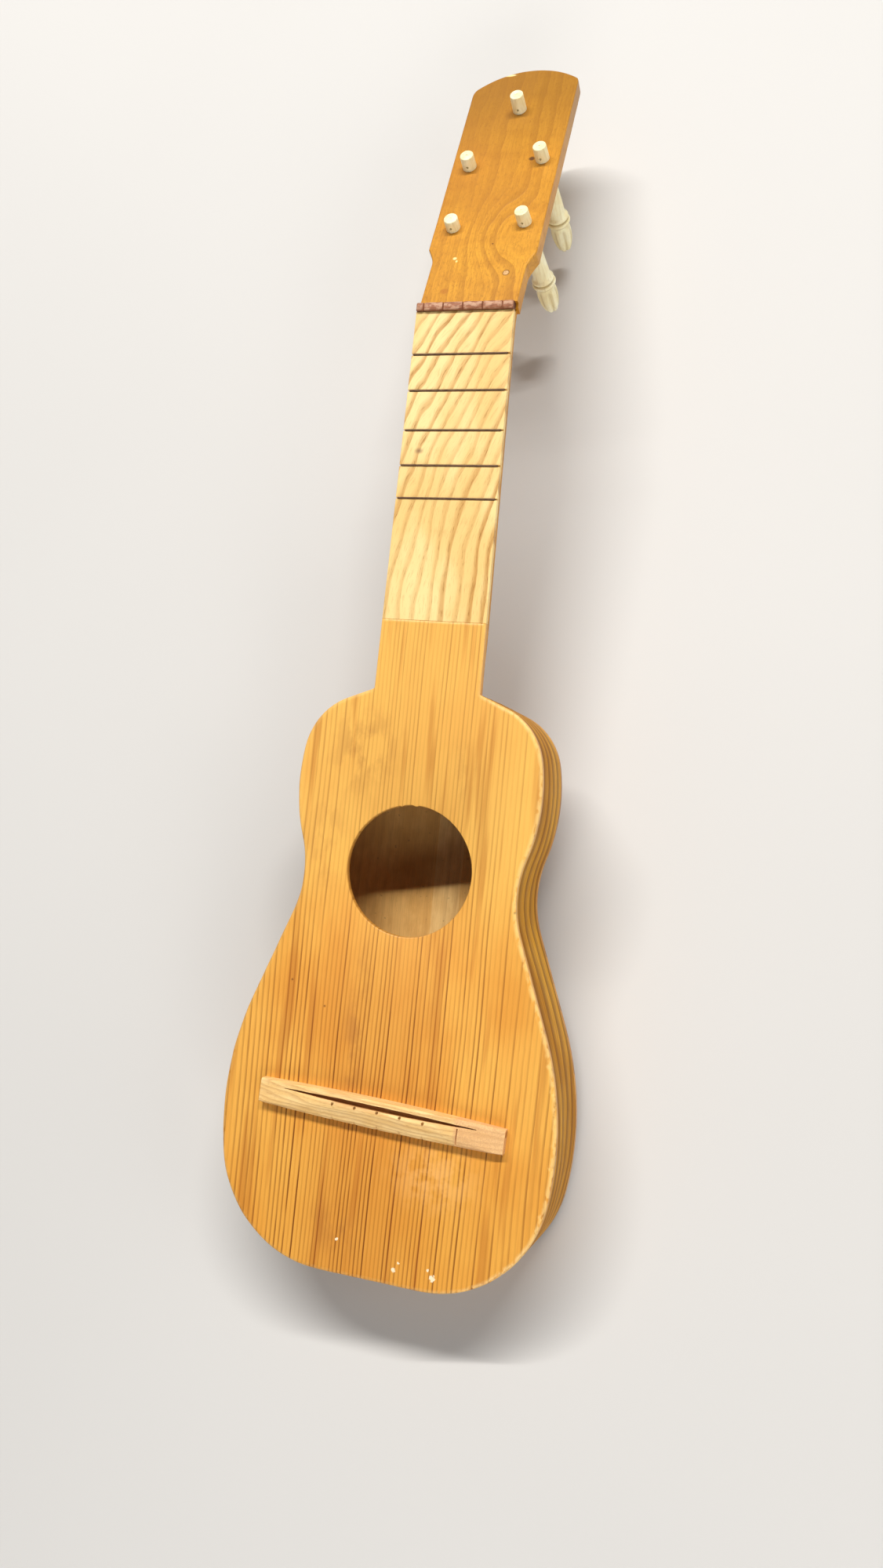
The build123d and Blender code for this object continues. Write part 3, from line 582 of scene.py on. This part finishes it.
def fill(bm, *rings):
    """Triangles over the flat area between rings."""
    edges = []
    for ring in rings:
        for first, second in zip(ring, ring[1:] + ring[:1]):
            edges.append(bm.edges.get((first, second)) or bm.edges.new((first, second)))
    bmesh.ops.triangle_fill(bm, use_beauty=True, edges=edges)


def cut(bm, tools, operation="DIFFERENCE"):
    """Cuts solids in the same frame out of a mesh one after another, or joins them to it."""
    mesh = bpy.data.meshes.new("cut_base")
    bm.to_mesh(mesh)
    base = bpy.data.objects.new("cut_base", mesh)
    bpy.context.scene.collection.objects.link(base)
    made = []
    for tool in tools:
        tool_mesh = bpy.data.meshes.new("cut_tool")
        bmesh.ops.recalc_face_normals(tool, faces=tool.faces)
        tool.to_mesh(tool_mesh)
        tool.free()
        cutter = bpy.data.objects.new("cut_tool", tool_mesh)
        bpy.context.scene.collection.objects.link(cutter)
        modifier = base.modifiers.new("cut", "BOOLEAN")
        modifier.operation = operation
        modifier.solver = "EXACT"
        modifier.object = cutter
        made.append(cutter)
    bpy.context.view_layer.update()
    result = bpy.data.meshes.new_from_object(base.evaluated_get(bpy.context.evaluated_depsgraph_get()))
    bm.clear()
    bm.from_mesh(result)
    for piece in (base, *made):
        bpy.data.objects.remove(piece)
    return bm


def prism(points, low, high):
    """A prism over a polygon of (x, y) points."""
    bm = bmesh.new()
    rings = [[bm.verts.new((x, y, z)) for x, y in points] for z in (low, high)]
    skin(bm, rings)
    bm.faces.new(rings[0])
    bm.faces.new(rings[1])
    return bm


def rod(start, end, radius, end_radius=None, sides=20):
    """A round rod or cone between two points."""
    bm = bmesh.new()
    axis = Vector(end) - Vector(start)
    turn = axis.to_track_quat("Z", "Y").to_matrix()
    rings = []
    for share, size in ((0, radius), (1, end_radius or radius)):
        angles = [math.tau * i / sides for i in range(sides)]
        ring = [turn @ Vector((math.cos(a) * size, math.sin(a) * size, 0)) for a in angles]
        rings.append([bm.verts.new(Vector(start) + axis * share + point) for point in ring])
    skin(bm, rings)
    bm.faces.new(rings[0])
    bm.faces.new(rings[1])
    return bm


# --- Soundboard -----------------------------------------------------------------------------

TAIL_Y = -77.2
BODY_WALK = [
    ("run", 24.5), ("bend", 55.0, 80.5), ("bend", 143.0, 30.5), ("run", 44.0),
    ("bend", -53.0, 39.5), ("bend", 86.0, 29.5), ("bend", 31.0, 56.7),
]
SHOULDER = (25.7, 192.3)
TONGUE_END = (25.35, 224.8)
BOARD = 3.0
SOUNDHOLE = (0.0, 109.3, 30.2)
OUTLINE_STEP = 1.6


def half_outline():
    """Points of the right half outline, from the middle of the tail to the shoulder."""
    here = Vector((0.0, TAIL_Y))
    heading = 0.0
    points = [here.copy()]
    for step in BODY_WALK:
        length = step[1] if step[0] == "run" else abs(step[1]) * math.radians(step[2])
        count = math.ceil(length / OUTLINE_STEP)
        turn = 0.0 if step[0] == "run" else math.radians(step[2]) / count * math.copysign(1, step[1])
        chord = length / count
        for _ in range(count):
            here = here + Vector((math.cos(heading + turn / 2), math.sin(heading + turn / 2))) * chord
            heading += turn
            points.append(here.copy())
    return [point for point in points if point.x > SHOULDER[0] or point.y < 100]


def even_line(start, end):
    """Points on a straight line, one step apart, without its start."""
    start, end = Vector(start), Vector(end)
    count = math.ceil((end - start).length / OUTLINE_STEP)
    return [start.lerp(end, (i + 1) / count) for i in range(count)]


def board_outline():
    """The soundboard's outline with its tongue, anticlockwise from the middle of the tail."""
    right = half_outline()
    right += even_line(right[-1], SHOULDER) + even_line(SHOULDER, TONGUE_END)
    across = even_line(TONGUE_END, (-TONGUE_END[0], TONGUE_END[1]))
    left = [Vector((-point.x, point.y)) for point in reversed(right[1:])]
    return right + across[:-1] + left


def inward(points):
    """The direction into an anticlockwise outline at each of its points."""
    normals = []
    for i in range(len(points)):
        along = (points[(i + 1) % len(points)] - points[i - 1]).normalized()
        normals.append(Vector((-along.y, along.x)))
    return normals


def rim_wear(point):
    """How rounded the board's edge is: little on the tongue, most where the treble side is chipped."""
    if point.y > SHOULDER[1] - 0.5 and abs(point.x) < SHOULDER[0] + 1:
        return 0.3
    rough = noise.noise(Vector((point.x * 0.09, point.y * 0.09, 3.0)))
    chips = noise.noise(Vector((point.x * 0.35, point.y * 0.35, 9.0)))
    wear = 1.0 + 0.35 * rough
    if point.x > 45 and point.y < 75:
        wear += max(0.0, chips) * 2.2
    return wear


def make_soundboard():
    """The front: its edge is rounded by hand and worn, and the hole has a narrow bevel."""
    bm = bmesh.new()
    layer = bm.verts.layers.float.new("rim")
    outline = board_outline()
    normals = inward(outline)
    wear = [rim_wear(point) for point in outline]
    profile = [
        (0.0, -BOARD, 0.3), (0.0, -1.3, 0.6), (0.10, -0.75, 1.0),
        (0.34, -0.32, 1.0), (0.85, 0.0, 0.9), (2.1, 0.0, 0.0),
    ]
    rings = []
    for inset, height, rim in profile:
        points = []
        for point, normal, amount in zip(outline, normals, wear):
            depth = inset * amount if inset < 1 else 0.85 * amount + inset - 0.85
            low = height if height < -2 else max(height * amount, -BOARD + 0.4)
            at = point + normal * depth
            points.append((at.x, at.y, low))
        rings.append(ring_of(bm, points, [rim] * len(points), layer))
    skin(bm, rings)
    x, y, radius = SOUNDHOLE
    hole_rings = []
    for extra, height in ((0.0, -BOARD), (0.0, -0.5), (0.15, -0.18), (0.5, 0.0)):
        points = []
        for i in range(180):
            angle = math.tau * i / 180
            nick = 0.5 if i in (44, 45, 51) and height > -1 else 0.0
            reach = radius + extra + 0.05 * math.sin(angle * 5 + 1) - nick
            points.append((x + reach * math.cos(angle), y + reach * math.sin(angle), height))
        hole_rings.append(ring_of(bm, points, [0.0] * 180, layer))
    skin(bm, hole_rings)
    fill(bm, rings[-1], hole_rings[-1])
    fill(bm, rings[0], hole_rings[0])
    return add_piece("soundboard_front", bm, pine, "instrument", ["soundboard"])


# --- Bridge ---------------------------------------------------------------------------------


def bridge_width(x):
    """Half the bridge's width."""
    return 5.5 + 1.2 * (1 - (x / BRIDGE_HALF) ** 2)


def bridge_height(x):
    """The height of the bridge's crest."""
    return BRIDGE_END + BRIDGE_ARCH * (1 - (x / BRIDGE_HALF) ** 2) - (0.35 if x > SAW_X else 0.0)


def bridge_section(x):
    """Points round the bridge at one place along it, from the front foot over the top to the rear foot."""
    width, height = bridge_width(x), bridge_height(x)
    shape = [(width, 0.0), (width, height - 1.0), (width - 0.15, height - 0.5)]
    shape += [(width - 0.55, height - 0.12), (width - 1.2, height)]
    for y in (4.4, 2.0, 0.6, -0.6, -1.8, -3.2, 1.2 - width, 0.5 - width):
        slope = BRIDGE_TOP - (TIE_CREST - y) * TIE_FALL
        shape.append((y, min(height, slope) if y < TIE_CREST else height))
    rear = shape[-1][1]
    shape += [(0.12 - width, rear - 0.4), (-width, rear - 0.9), (-width, 0.0)]
    points = []
    for i, (y, z) in enumerate(shape):
        shake = noise.noise_vector(Vector((x * 0.11, y * 0.3, i * 0.7)))
        fine = noise.noise_vector(Vector((x * 0.8, y * 0.9, i * 1.3 + 7)))
        rough = 0.10 if x > SAW_X else 0.04
        if z > 0:
            y = y + shake.y * 0.16 + fine.y * rough
            z = min(z + shake.z * 0.14 + fine.z * rough, BRIDGE_TOP - 0.02)
        points.append((x, max(-width, min(width, y)), z))
    return points


def make_bridge():
    """The hand-cut tie bridge, with its empty saddle slot, string holes, notches and saw cut."""
    bm = bmesh.new()
    stations = 170
    rings = []
    for i in range(stations + 1):
        x = -BRIDGE_HALF + 2 * BRIDGE_HALF * i / stations
        rings.append([bm.verts.new(point) for point in bridge_section(x)])
    skin(bm, rings)
    bm.faces.new(rings[0])
    bm.faces.new(rings[-1])
    bmesh.ops.recalc_face_normals(bm, faces=bm.faces)
    tools = [slot_space(), ramp_space()]
    for number in range(5):
        x = (number - 2) * STRING_GAP
        for low, high, *radii in (STRING_HOLE, HOLE_MOUTH):
            tools.append(rod((x, *low), (x, *high), *radii, sides=16))
    saw_cut = [(SAW_X - 0.3, -9), (SAW_X + 0.3, -9), (SAW_X + 0.25, 2.2), (SAW_X - 0.2, 2.2)]
    tools.append(prism(saw_cut, 4.2, 9))
    cut(bm, tools)
    turn = Matrix.Rotation(math.radians(BRIDGE_TURN), 4, "Z")
    bm.transform(Matrix.Translation((*BRIDGE_CENTRE, 0)) @ turn)
    return add_piece("tie_bridge", bm, bridge_wood, "instrument", ["bridge"])


def slot_space():
    """The saddle slot: a long lens, pointed at both ends."""
    front, rear = [], []
    for i in range(41):
        x = -46.7 + 93.4 * i / 40
        half = 0.14 + 1.15 * (1 - (x / 46.8) ** 2) + 0.05 * math.sin(x * 0.6)
        front.append((x, SLOT_Y + half))
        rear.append((x, SLOT_Y - half * 0.95))
    return prism(rear + front[::-1], 3.0, 9.0)


def ramp_space():
    """The sloped cut behind the slot, where the strings leave the tie block."""
    bm = bmesh.new()
    rings = []
    for i in range(31):
        x = -43.7 + 87.4 * i / 30
        fade = 1 - (x / 44.5) ** 4
        drop, run = 1.5 * fade + 0.02, 2.2 * fade + 0.1
        top = bridge_height(x)
        section = [(SLOT_Y, top - drop), (SLOT_Y - run, top - 0.1)]
        section += [(SLOT_Y - run - 0.8, top + 0.8), (SLOT_Y, top + 2)]
        rings.append([bm.verts.new((x, y, z)) for y, z in section])
    skin(bm, rings)
    bm.faces.new(rings[0])
    bm.faces.new(rings[-1])
    return bm


# --- Nut ------------------------------------------------------------------------------------

NUT_HALF = 23.5
NUT_START, NUT_END = 370.0, 373.9
NUT_SLOT_DEPTHS = (0.8, 0.95, 0.85, 0.9, 0.75)
NUT_SLOTS = [(-0.7 + (number - 2) * 9.6, depth) for number, depth in enumerate(NUT_SLOT_DEPTHS)]
NUT_SLOT_HALF = 0.42


def nut_top(x):
    """The height of the nut's top at one place along it."""
    filed = max(depth * max(0.0, 1 - ((x - at) / NUT_SLOT_HALF) ** 2) for at, depth in NUT_SLOTS)
    waves = noise.noise(Vector((x * 0.22, 1.0, 4.0))) * 0.16
    ripples = noise.noise(Vector((x * 1.1, 5.0, 4.0))) * 0.05
    worn_end = 0.5 * max(0.0, abs(x) - (NUT_HALF - 1.0)) ** 2
    return 1.62 + waves + ripples - filed - worn_end


def make_nut():
    """The nut: a worn bar with five string slots, hand filed to slightly different depths."""
    bm = bmesh.new()
    stations = {round(-NUT_HALF + 0.5 * i, 3) for i in range(95)}
    steps = (-NUT_SLOT_HALF, -0.3, -0.15, 0, 0.15, 0.3, NUT_SLOT_HALF)
    for at, _ in NUT_SLOTS:
        stations |= {round(at + step, 3) for step in steps}
    rings = []
    for x in sorted(stations):
        top = nut_top(x)
        section = [
            (NUT_START, -BOARD), (NUT_START, top - 0.55), (NUT_START + 0.18, top - 0.18),
            (NUT_START + 0.55, top), (NUT_START + 1.9, top + 0.02), (NUT_END - 0.7, top - 0.05),
            (NUT_END - 0.2, top - 0.3), (NUT_END, top - 0.75), (NUT_END, -BOARD),
        ]
        rings.append([bm.verts.new((x, y, min(z, 1.69))) for y, z in section])
    skin(bm, rings)
    bm.faces.new(rings[0])
    bm.faces.new(rings[-1])
    return add_piece("filed_nut", bm, nut_wood, "instrument", ["nut"], sharp=50)


# --- Pegs -----------------------------------------------------------------------------------

PEG_STUBS = {
    "peg_top": 8.8, "peg_middle_left": 7.0, "peg_middle_right": 7.6,
    "peg_lower_left": 5.9, "peg_lower_right": 7.1,
}
PEG_RADIUS = 3.5
PEG_TAPER = 0.02
PEG_CLEARANCE = 0.05
PEG_PROFILE = [
    (3.66, -7.8), (3.95, -18.0), (4.3, -30.0), (4.35, -33.0), (4.7, -33.7), (5.3, -34.2),
    (5.6, -34.8), (5.45, -35.5), (5.0, -35.9), (4.85, -36.2), (5.2, -36.5), (5.75, -36.9),
    (6.0, -37.5), (5.8, -38.2), (5.0, -38.7), (4.35, -39.0), (4.25, -39.5), (4.5, -40.2),
    (4.85, -41.2), (5.1, -42.5), (5.2, -44.0), (5.15, -46.0), (4.95, -48.0), (4.6, -50.2),
    (4.1, -52.2), (3.6, -53.9), (3.0, -55.0), (2.2, -55.55), (1.2, -55.78),
]
PEG_SIDES = 72
PEG_HOLE_ENDS = (-12.0, 3.0)
KNOB_START = -40.0


def peg_place(name):
    """The matrix of a peg's own frame: its origin on the head's face and its Z axis along the peg."""
    joint = joints[name + "_turn"]
    axis = Vector(joint["axis"]).normalized()
    side = Vector((1, 0, 0))
    side = (side - axis * side.dot(axis)).normalized()
    turn = Matrix((side, axis.cross(side), axis)).transposed().to_4x4()
    return Matrix.Translation(joint["pos_m"]) @ turn @ Matrix.Scale(MM, 4)


def peg_profile(stub):
    """Radii and heights of a peg, from the dimple in its stub to the end of its knob."""
    top = PEG_RADIUS - PEG_TAPER * stub
    dimple = [(0.0, stub - 0.45), (0.3, stub - 0.4), (0.5, stub - 0.05), (0.7, stub)]
    edge = [(top - 0.7, stub), (top - 0.3, stub - 0.07), (top - 0.08, stub - 0.28), (top, stub - 0.6)]
    return [*dimple, *edge, (PEG_RADIUS, 0.0), *PEG_PROFILE, (0.0, -55.8)]


def peg_ring(bm, layer, radius, height):
    """One ring of a peg, pulled in at the knob's flutes, with a value for how deep in a groove it is."""
    if radius == 0:
        return ring_of(bm, [(0, 0, height)], [0.0], layer)
    ring, values = [], []
    for i in range(PEG_SIDES):
        angle = math.tau * i / PEG_SIDES
        reach, groove = radius, 0.0
        if height < KNOB_START:
            share = min(1.0, (KNOB_START - height) / 2.5)
            valley = (0.5 + 0.5 * math.cos(angle * 6)) ** 3
            reach -= 0.85 * valley * share * min(1.0, radius / 3.0)
            groove = valley * share * 0.8
        if -36.6 < height < -35.6 or -39.8 < height < -38.9:
            groove = 1.0
        ring.append((reach * math.cos(angle), reach * math.sin(angle), height))
        values.append(groove)
    return ring_of(bm, ring, values, layer)


def make_peg(name):
    """A turned and carved peg: dimpled stub, tapered shank, ringed collar and fluted knob."""
    bm = bmesh.new()
    layer = bm.verts.layers.float.new("groove")
    rings = [peg_ring(bm, layer, radius, height) for radius, height in peg_profile(PEG_STUBS[name])]
    for centre, ring in ((rings[0][0], rings[1]), (rings[-1][0], rings[-2])):
        for i in range(PEG_SIDES):
            bm.faces.new((centre, ring[i], ring[(i + 1) % PEG_SIDES]))
    skin(bm, rings[1:-1])
    bmesh.ops.recalc_face_normals(bm, faces=bm.faces)
    cut(bm, [rod((0, -9, 2.4), (0, 9, 2.4), 0.6, sides=16)])
    place = peg_place(name)
    return add_piece("turned_" + name, bm, boxwood, name, [name], place, sharp=40)


# --- Neck and head --------------------------------------------------------------------------

NECK_HALVES = (25.7, 23.8)
NECK_DEPTHS = (18.0, 15.5)
BODY_TOP_Y = 192.3
THROAT_Y = 364.0
HEEL_CROWN_Y, HEEL_FOOT_Y, HEEL_DEPTH = 236.0, 201.5, 37.9
HEEL_HALF = 10.0
HEAD_THICKNESS = 7.8
HEAD_FOOT = 23.6
HEAD_HALF = 27.2
# How far up each side of the head its flare, shoulder and corner are: 1 is the treble side.
HEAD_SIDES = {1: (19.5, 31.0, 147.5), -1: (26.0, 35.5, 143.5)}
HEAD_TOP = Vector((4.0, 156.3))
HEAD_CORNER = 3.0
HEAD_EDGE = 0.8
HEAD_PLUG = (14.7, 18.6, 1.32, 4.0)
HEAD_FRAME = Matrix.Translation(HEAD_ROOT) @ Matrix.Rotation(-HEAD_TILT, 4, "X")


def neck_ring(y, half, depth, heel=0.0):
    """A section across the neck: flat in front and round behind, or deep and narrow at the heel."""
    power = 2 / (2.0 + 2.5 * heel)
    narrowing = (HEEL_HALF - half) * heel
    side = BOARD + 1.0
    points = []
    for i in range(37):
        angle = math.pi * i / 36
        down = abs(math.sin(angle)) ** power
        out = math.copysign(abs(math.cos(angle)) ** power, math.cos(angle))
        points.append(Vector(((half + narrowing * down) * out, y, -side - (depth - side) * down)))
    return [Vector((half, y, -BOARD)), *points, Vector((-half, y, -BOARD))]


def shaft_size(y):
    """Half the neck's width and its depth at one place along it."""
    share = (y - BODY_TOP_Y) / (THROAT_Y - BODY_TOP_Y)
    return [a + (b - a) * share for a, b in (NECK_HALVES, NECK_DEPTHS)]


def throat_rings(first):
    """Sections that bend smoothly from the end of the shaft to the back of the head."""
    last = [HEAD_FRAME @ point for point in neck_ring(21.0, 22.9, HEAD_THICKNESS + 0.1)]
    rings = []
    for i in range(1, 13):
        t = i / 12
        start, end = 2 * t ** 3 - 3 * t ** 2 + 1, 3 * t ** 2 - 2 * t ** 3
        leave, arrive = t ** 3 - 2 * t ** 2 + t, t ** 3 - t ** 2
        bend = Vector((0, 20, 0)) * leave + HEAD_UP * 20 * arrive
        rings.append([a * start + b * end + bend for a, b in zip(first, last)])
    return rings


def make_shaft():
    """The heel, the neck's shaft and the throat behind the nut, as one loft."""
    rings = [neck_ring(BODY_TOP_Y, NECK_HALVES[0], HEEL_DEPTH, 1.0)]
    for i in range(25):
        angle = math.pi / 2 * (1 - i / 24)
        y = HEEL_CROWN_Y - (HEEL_CROWN_Y - HEEL_FOOT_Y) * math.sin(angle)
        half, depth = shaft_size(y)
        heel = 1 - math.cos(angle)
        rings.append(neck_ring(y, half, depth + (HEEL_DEPTH - depth) * heel, heel))
    for i in range(1, 25):
        y = HEEL_CROWN_Y + (THROAT_Y - HEEL_CROWN_Y) * i / 24
        rings.append(neck_ring(y, *shaft_size(y)))
    rings += throat_rings(rings[-1])
    bm = bmesh.new()
    rings = [[bm.verts.new(point) for point in ring] for ring in rings]
    skin(bm, rings)
    bm.faces.new(rings[0])
    bm.faces.new(rings[-1])
    return bm


def head_edge(side, flare, shoulder, corner):
    """One side of the head, from its foot over the flare to just below the top corner."""
    edge = [Vector((side * HEAD_FOOT, 0.0)), Vector((side * HEAD_FOOT, flare * 0.5))]
    for i in range(9):
        t = i / 8
        bulge = t * t * (1.6 - 0.6 * t)
        out = HEAD_FOOT + (HEAD_HALF - HEAD_FOOT) * bulge
        edge.append(Vector((side * out, flare + (shoulder - flare) * t)))
    return edge + [Vector((side * HEAD_HALF, shoulder + (corner - shoulder) * i / 12)) for i in range(1, 12)]


def head_crown(start, end):
    """The arched top between two corners, through the head's highest point."""
    centre = circle_centre(start, HEAD_TOP, end)
    radius = (HEAD_TOP - centre).length
    first = math.atan2(start.y - centre.y, start.x - centre.x)
    final = math.atan2(end.y - centre.y, end.x - centre.x)
    crown = []
    for i in range(1, 40):
        angle = first + (final - first) * i / 40
        crown.append(centre + Vector((math.cos(angle), math.sin(angle))) * radius)
    return crown


def head_outline():
    """The head's outline on its own face, anticlockwise from its right foot."""
    right, left = (head_edge(side, *heights) for side, heights in HEAD_SIDES.items())
    start = Vector((HEAD_HALF, HEAD_SIDES[1][2]))
    end = Vector((-HEAD_HALF, HEAD_SIDES[-1][2]))
    crown = head_crown(start, end)
    first = blunt(right[-1], start, crown[0])
    last = blunt(crown[-1], end, left[-1])
    return right + first + crown[1:-1] + last + left[::-1]


def circle_centre(a, b, c):
    """The centre of the circle through three points."""
    rows = Matrix(((b - a), (c - b)))
    sums = Vector(((b.length_squared - a.length_squared) / 2, (c.length_squared - b.length_squared) / 2))
    return rows.inverted() @ sums


def blunt(before, corner, after):
    """A rounded corner between two straight runs."""
    start = corner + (before - corner).normalized() * HEAD_CORNER
    end = corner + (after - corner).normalized() * min(HEAD_CORNER, (after - corner).length)
    shares = [i / 6 for i in range(7)]
    return [start * (1 - t) ** 2 + corner * 2 * t * (1 - t) + end * t * t for t in shares]


def make_head():
    """The flat head with its edges rounded over."""
    outline = head_outline()
    normals = inward(outline)
    levels = []
    for i in range(5):
        angle = math.pi / 2 * i / 4
        levels.append((HEAD_EDGE * (1 - math.sin(angle)), -HEAD_EDGE * (1 - math.cos(angle))))
    levels += [(inset, -HEAD_THICKNESS - z) for inset, z in levels[::-1]]
    bm = bmesh.new()
    rings = []
    for inset, z in levels:
        ring = []
        for point, direction in zip(outline, normals):
            wear = noise.noise(Vector((point.x * 0.12, point.y * 0.12, z))) * 0.12
            x, y = point + direction * max(0.0, inset + wear)
            ring.append(bm.verts.new(HEAD_FRAME @ Vector((x, y, z))))
        rings.append(ring)
    skin(bm, rings)
    bm.faces.new(rings[0])
    bm.faces.new(rings[-1])
    return bm


def make_neck():
    """The carved neck: heel, shaft and head, with the peg holes and the seat of the plug."""
    bm = make_shaft()
    bmesh.ops.recalc_face_normals(bm, faces=bm.faces)
    cut(bm, [make_head()], "UNION")
    square = [(-40, 300), (40, 300), (40, 373.9), (-40, 373.9)]
    tools = [prism(square, -BOARD, 20)]
    for name in PEG_STUBS:
        place = TO_FACE @ peg_place(name)
        ends = [place @ Vector((0, 0, height)) for height in PEG_HOLE_ENDS]
        radii = [PEG_RADIUS + PEG_CLEARANCE - PEG_TAPER * height for height in PEG_HOLE_ENDS]
        tools.append(rod(*ends, *radii, sides=PEG_SIDES))
    x, y, radius, depth = HEAD_PLUG
    tools.append(rod(HEAD_FRAME @ Vector((x, y, -depth)), HEAD_FRAME @ Vector((x, y, 2)), radius, sides=32))
    cut(bm, tools)
    piece = add_piece("carved_neck", bm, head_wood, "instrument", ["neck"], sharp=40)
    piece.modifiers.new("even_faces", "WEIGHTED_NORMAL").keep_sharp = True
    return piece


def soften(node, width):
    """Rounds a CAD piece's hard edges a little, as sandpaper does."""
    weld = node.modifiers.new("weld", "WELD")
    weld.merge_threshold = 1e-6
    flat = node.modifiers.new("flat", "DECIMATE")
    flat.decimate_type, flat.angle_limit = "DISSOLVE", math.radians(0.02)
    bevel = node.modifiers.new("bevel", "BEVEL")
    bevel.width, bevel.segments, bevel.limit_method = width * MM, 3, "ANGLE"
    bevel.angle_limit, bevel.use_clamp_overlap = math.radians(38), True
    bevel.harden_normals = False


make_soundboard()
make_bridge()
make_nut()
for peg_name in PEG_STUBS:
    make_peg(peg_name)
make_neck()
soften(frame["nodes"]["fretboard"], 0.25)


# --- Stage ----------------------------------------------------------------------------------

CAMERA_PLACE = (198.8, 133.8, 563.4)
CAMERA_TIPS = ((-0.0997, "Z"), (-0.0280, "X"), (-0.3205, "Y"))
KEY_HEIGHT = math.radians(43.5)
KEY_DIRECTION = (-0.03, math.cos(KEY_HEIGHT), math.sin(KEY_HEIGHT))


def make_floor():
    """A plain pale floor under the instrument."""
    mesh = bpy.data.meshes.new("floor")
    half = 6.0
    corners = [(-half, -half, 0), (half, -half, 0), (half, half, 0), (-half, half, 0)]
    mesh.from_pydata(corners, [], [(0, 1, 2, 3)])
    floor = bpy.data.objects.new("floor", mesh)
    bpy.context.scene.collection.objects.link(floor)
    g = Graph("floor_paint")
    place = g.node("TexCoord").outputs["Object"]
    soft = g.noise(place, 3.0, 2)
    mesh.materials.append(g.finish(g.mix(soft, srgb(214, 213, 211), srgb(208, 207, 205)), 0.9))


def aimed(place, target, roll=0.0):
    """A matrix at a place whose -Z axis looks at a target."""
    turn = (Vector(target) - Vector(place)).to_track_quat("-Z", "Y").to_matrix().to_4x4()
    return Matrix.Translation(place) @ turn @ Matrix.Rotation(roll, 4, "Z")


def make_light(name, direction, distance, size, power, colour, roll=0.0):
    """An area light that shines on the middle of the instrument from a direction in the face frame."""
    light = bpy.data.lights.new(name, "AREA")
    light.shape = "RECTANGLE"
    light.size, light.size_y = size
    light.energy, light.color = power, colour
    target = FACE @ Vector((0, 100, 0))
    turn = FACE.to_3x3().normalized()
    place = target + (turn @ Vector(direction).normalized()) * distance
    lamp = bpy.data.objects.new(name, light)
    bpy.context.scene.collection.objects.link(lamp)
    lamp.matrix_world = aimed(place, target, roll)


def make_camera():
    """The camera, where it stood over the instrument's treble side."""
    data = bpy.data.cameras.new("camera")
    data.sensor_fit, data.sensor_height, data.lens = "VERTICAL", 36.0, 29.92
    data.clip_start, data.clip_end = 0.01, 50.0
    camera = bpy.data.objects.new("camera", data)
    bpy.context.scene.collection.objects.link(camera)
    tips = [Matrix.Rotation(angle, 3, axis) for angle, axis in CAMERA_TIPS]
    turn = FACE.to_3x3().normalized() @ (tips[0] @ tips[1] @ tips[2]).transposed()
    camera.matrix_world = Matrix.Translation(FACE @ Vector(CAMERA_PLACE)) @ turn.to_4x4()
    bpy.context.scene.camera = camera


make_floor()
make_camera()
make_light("key", KEY_DIRECTION, 2.8, (2.8, 0.06), 110, (1.0, 0.97, 0.93), math.radians(6))
make_light("front", (0.35, -0.85, 0.62), 2.2, (1.8, 0.9), 25, (1.0, 0.98, 0.96))
make_light("fill", (-0.6, -0.2, 1.0), 2.4, (2.0, 2.0), 2, (0.97, 0.98, 1.0))
make_light("side", (1.0, 0.1, 0.45), 2.0, (1.2, 1.2), 7, (1.0, 0.98, 0.95))

world = bpy.data.worlds.new("studio")
bpy.context.scene.world = world
world.use_nodes = True
sky = world.node_tree.nodes["Background"].inputs
sky["Color"].default_value = (0.92, 0.95, 1.0, 1.0)
sky["Strength"].default_value = 0.05
bpy.context.scene.view_settings.view_transform = "Standard"
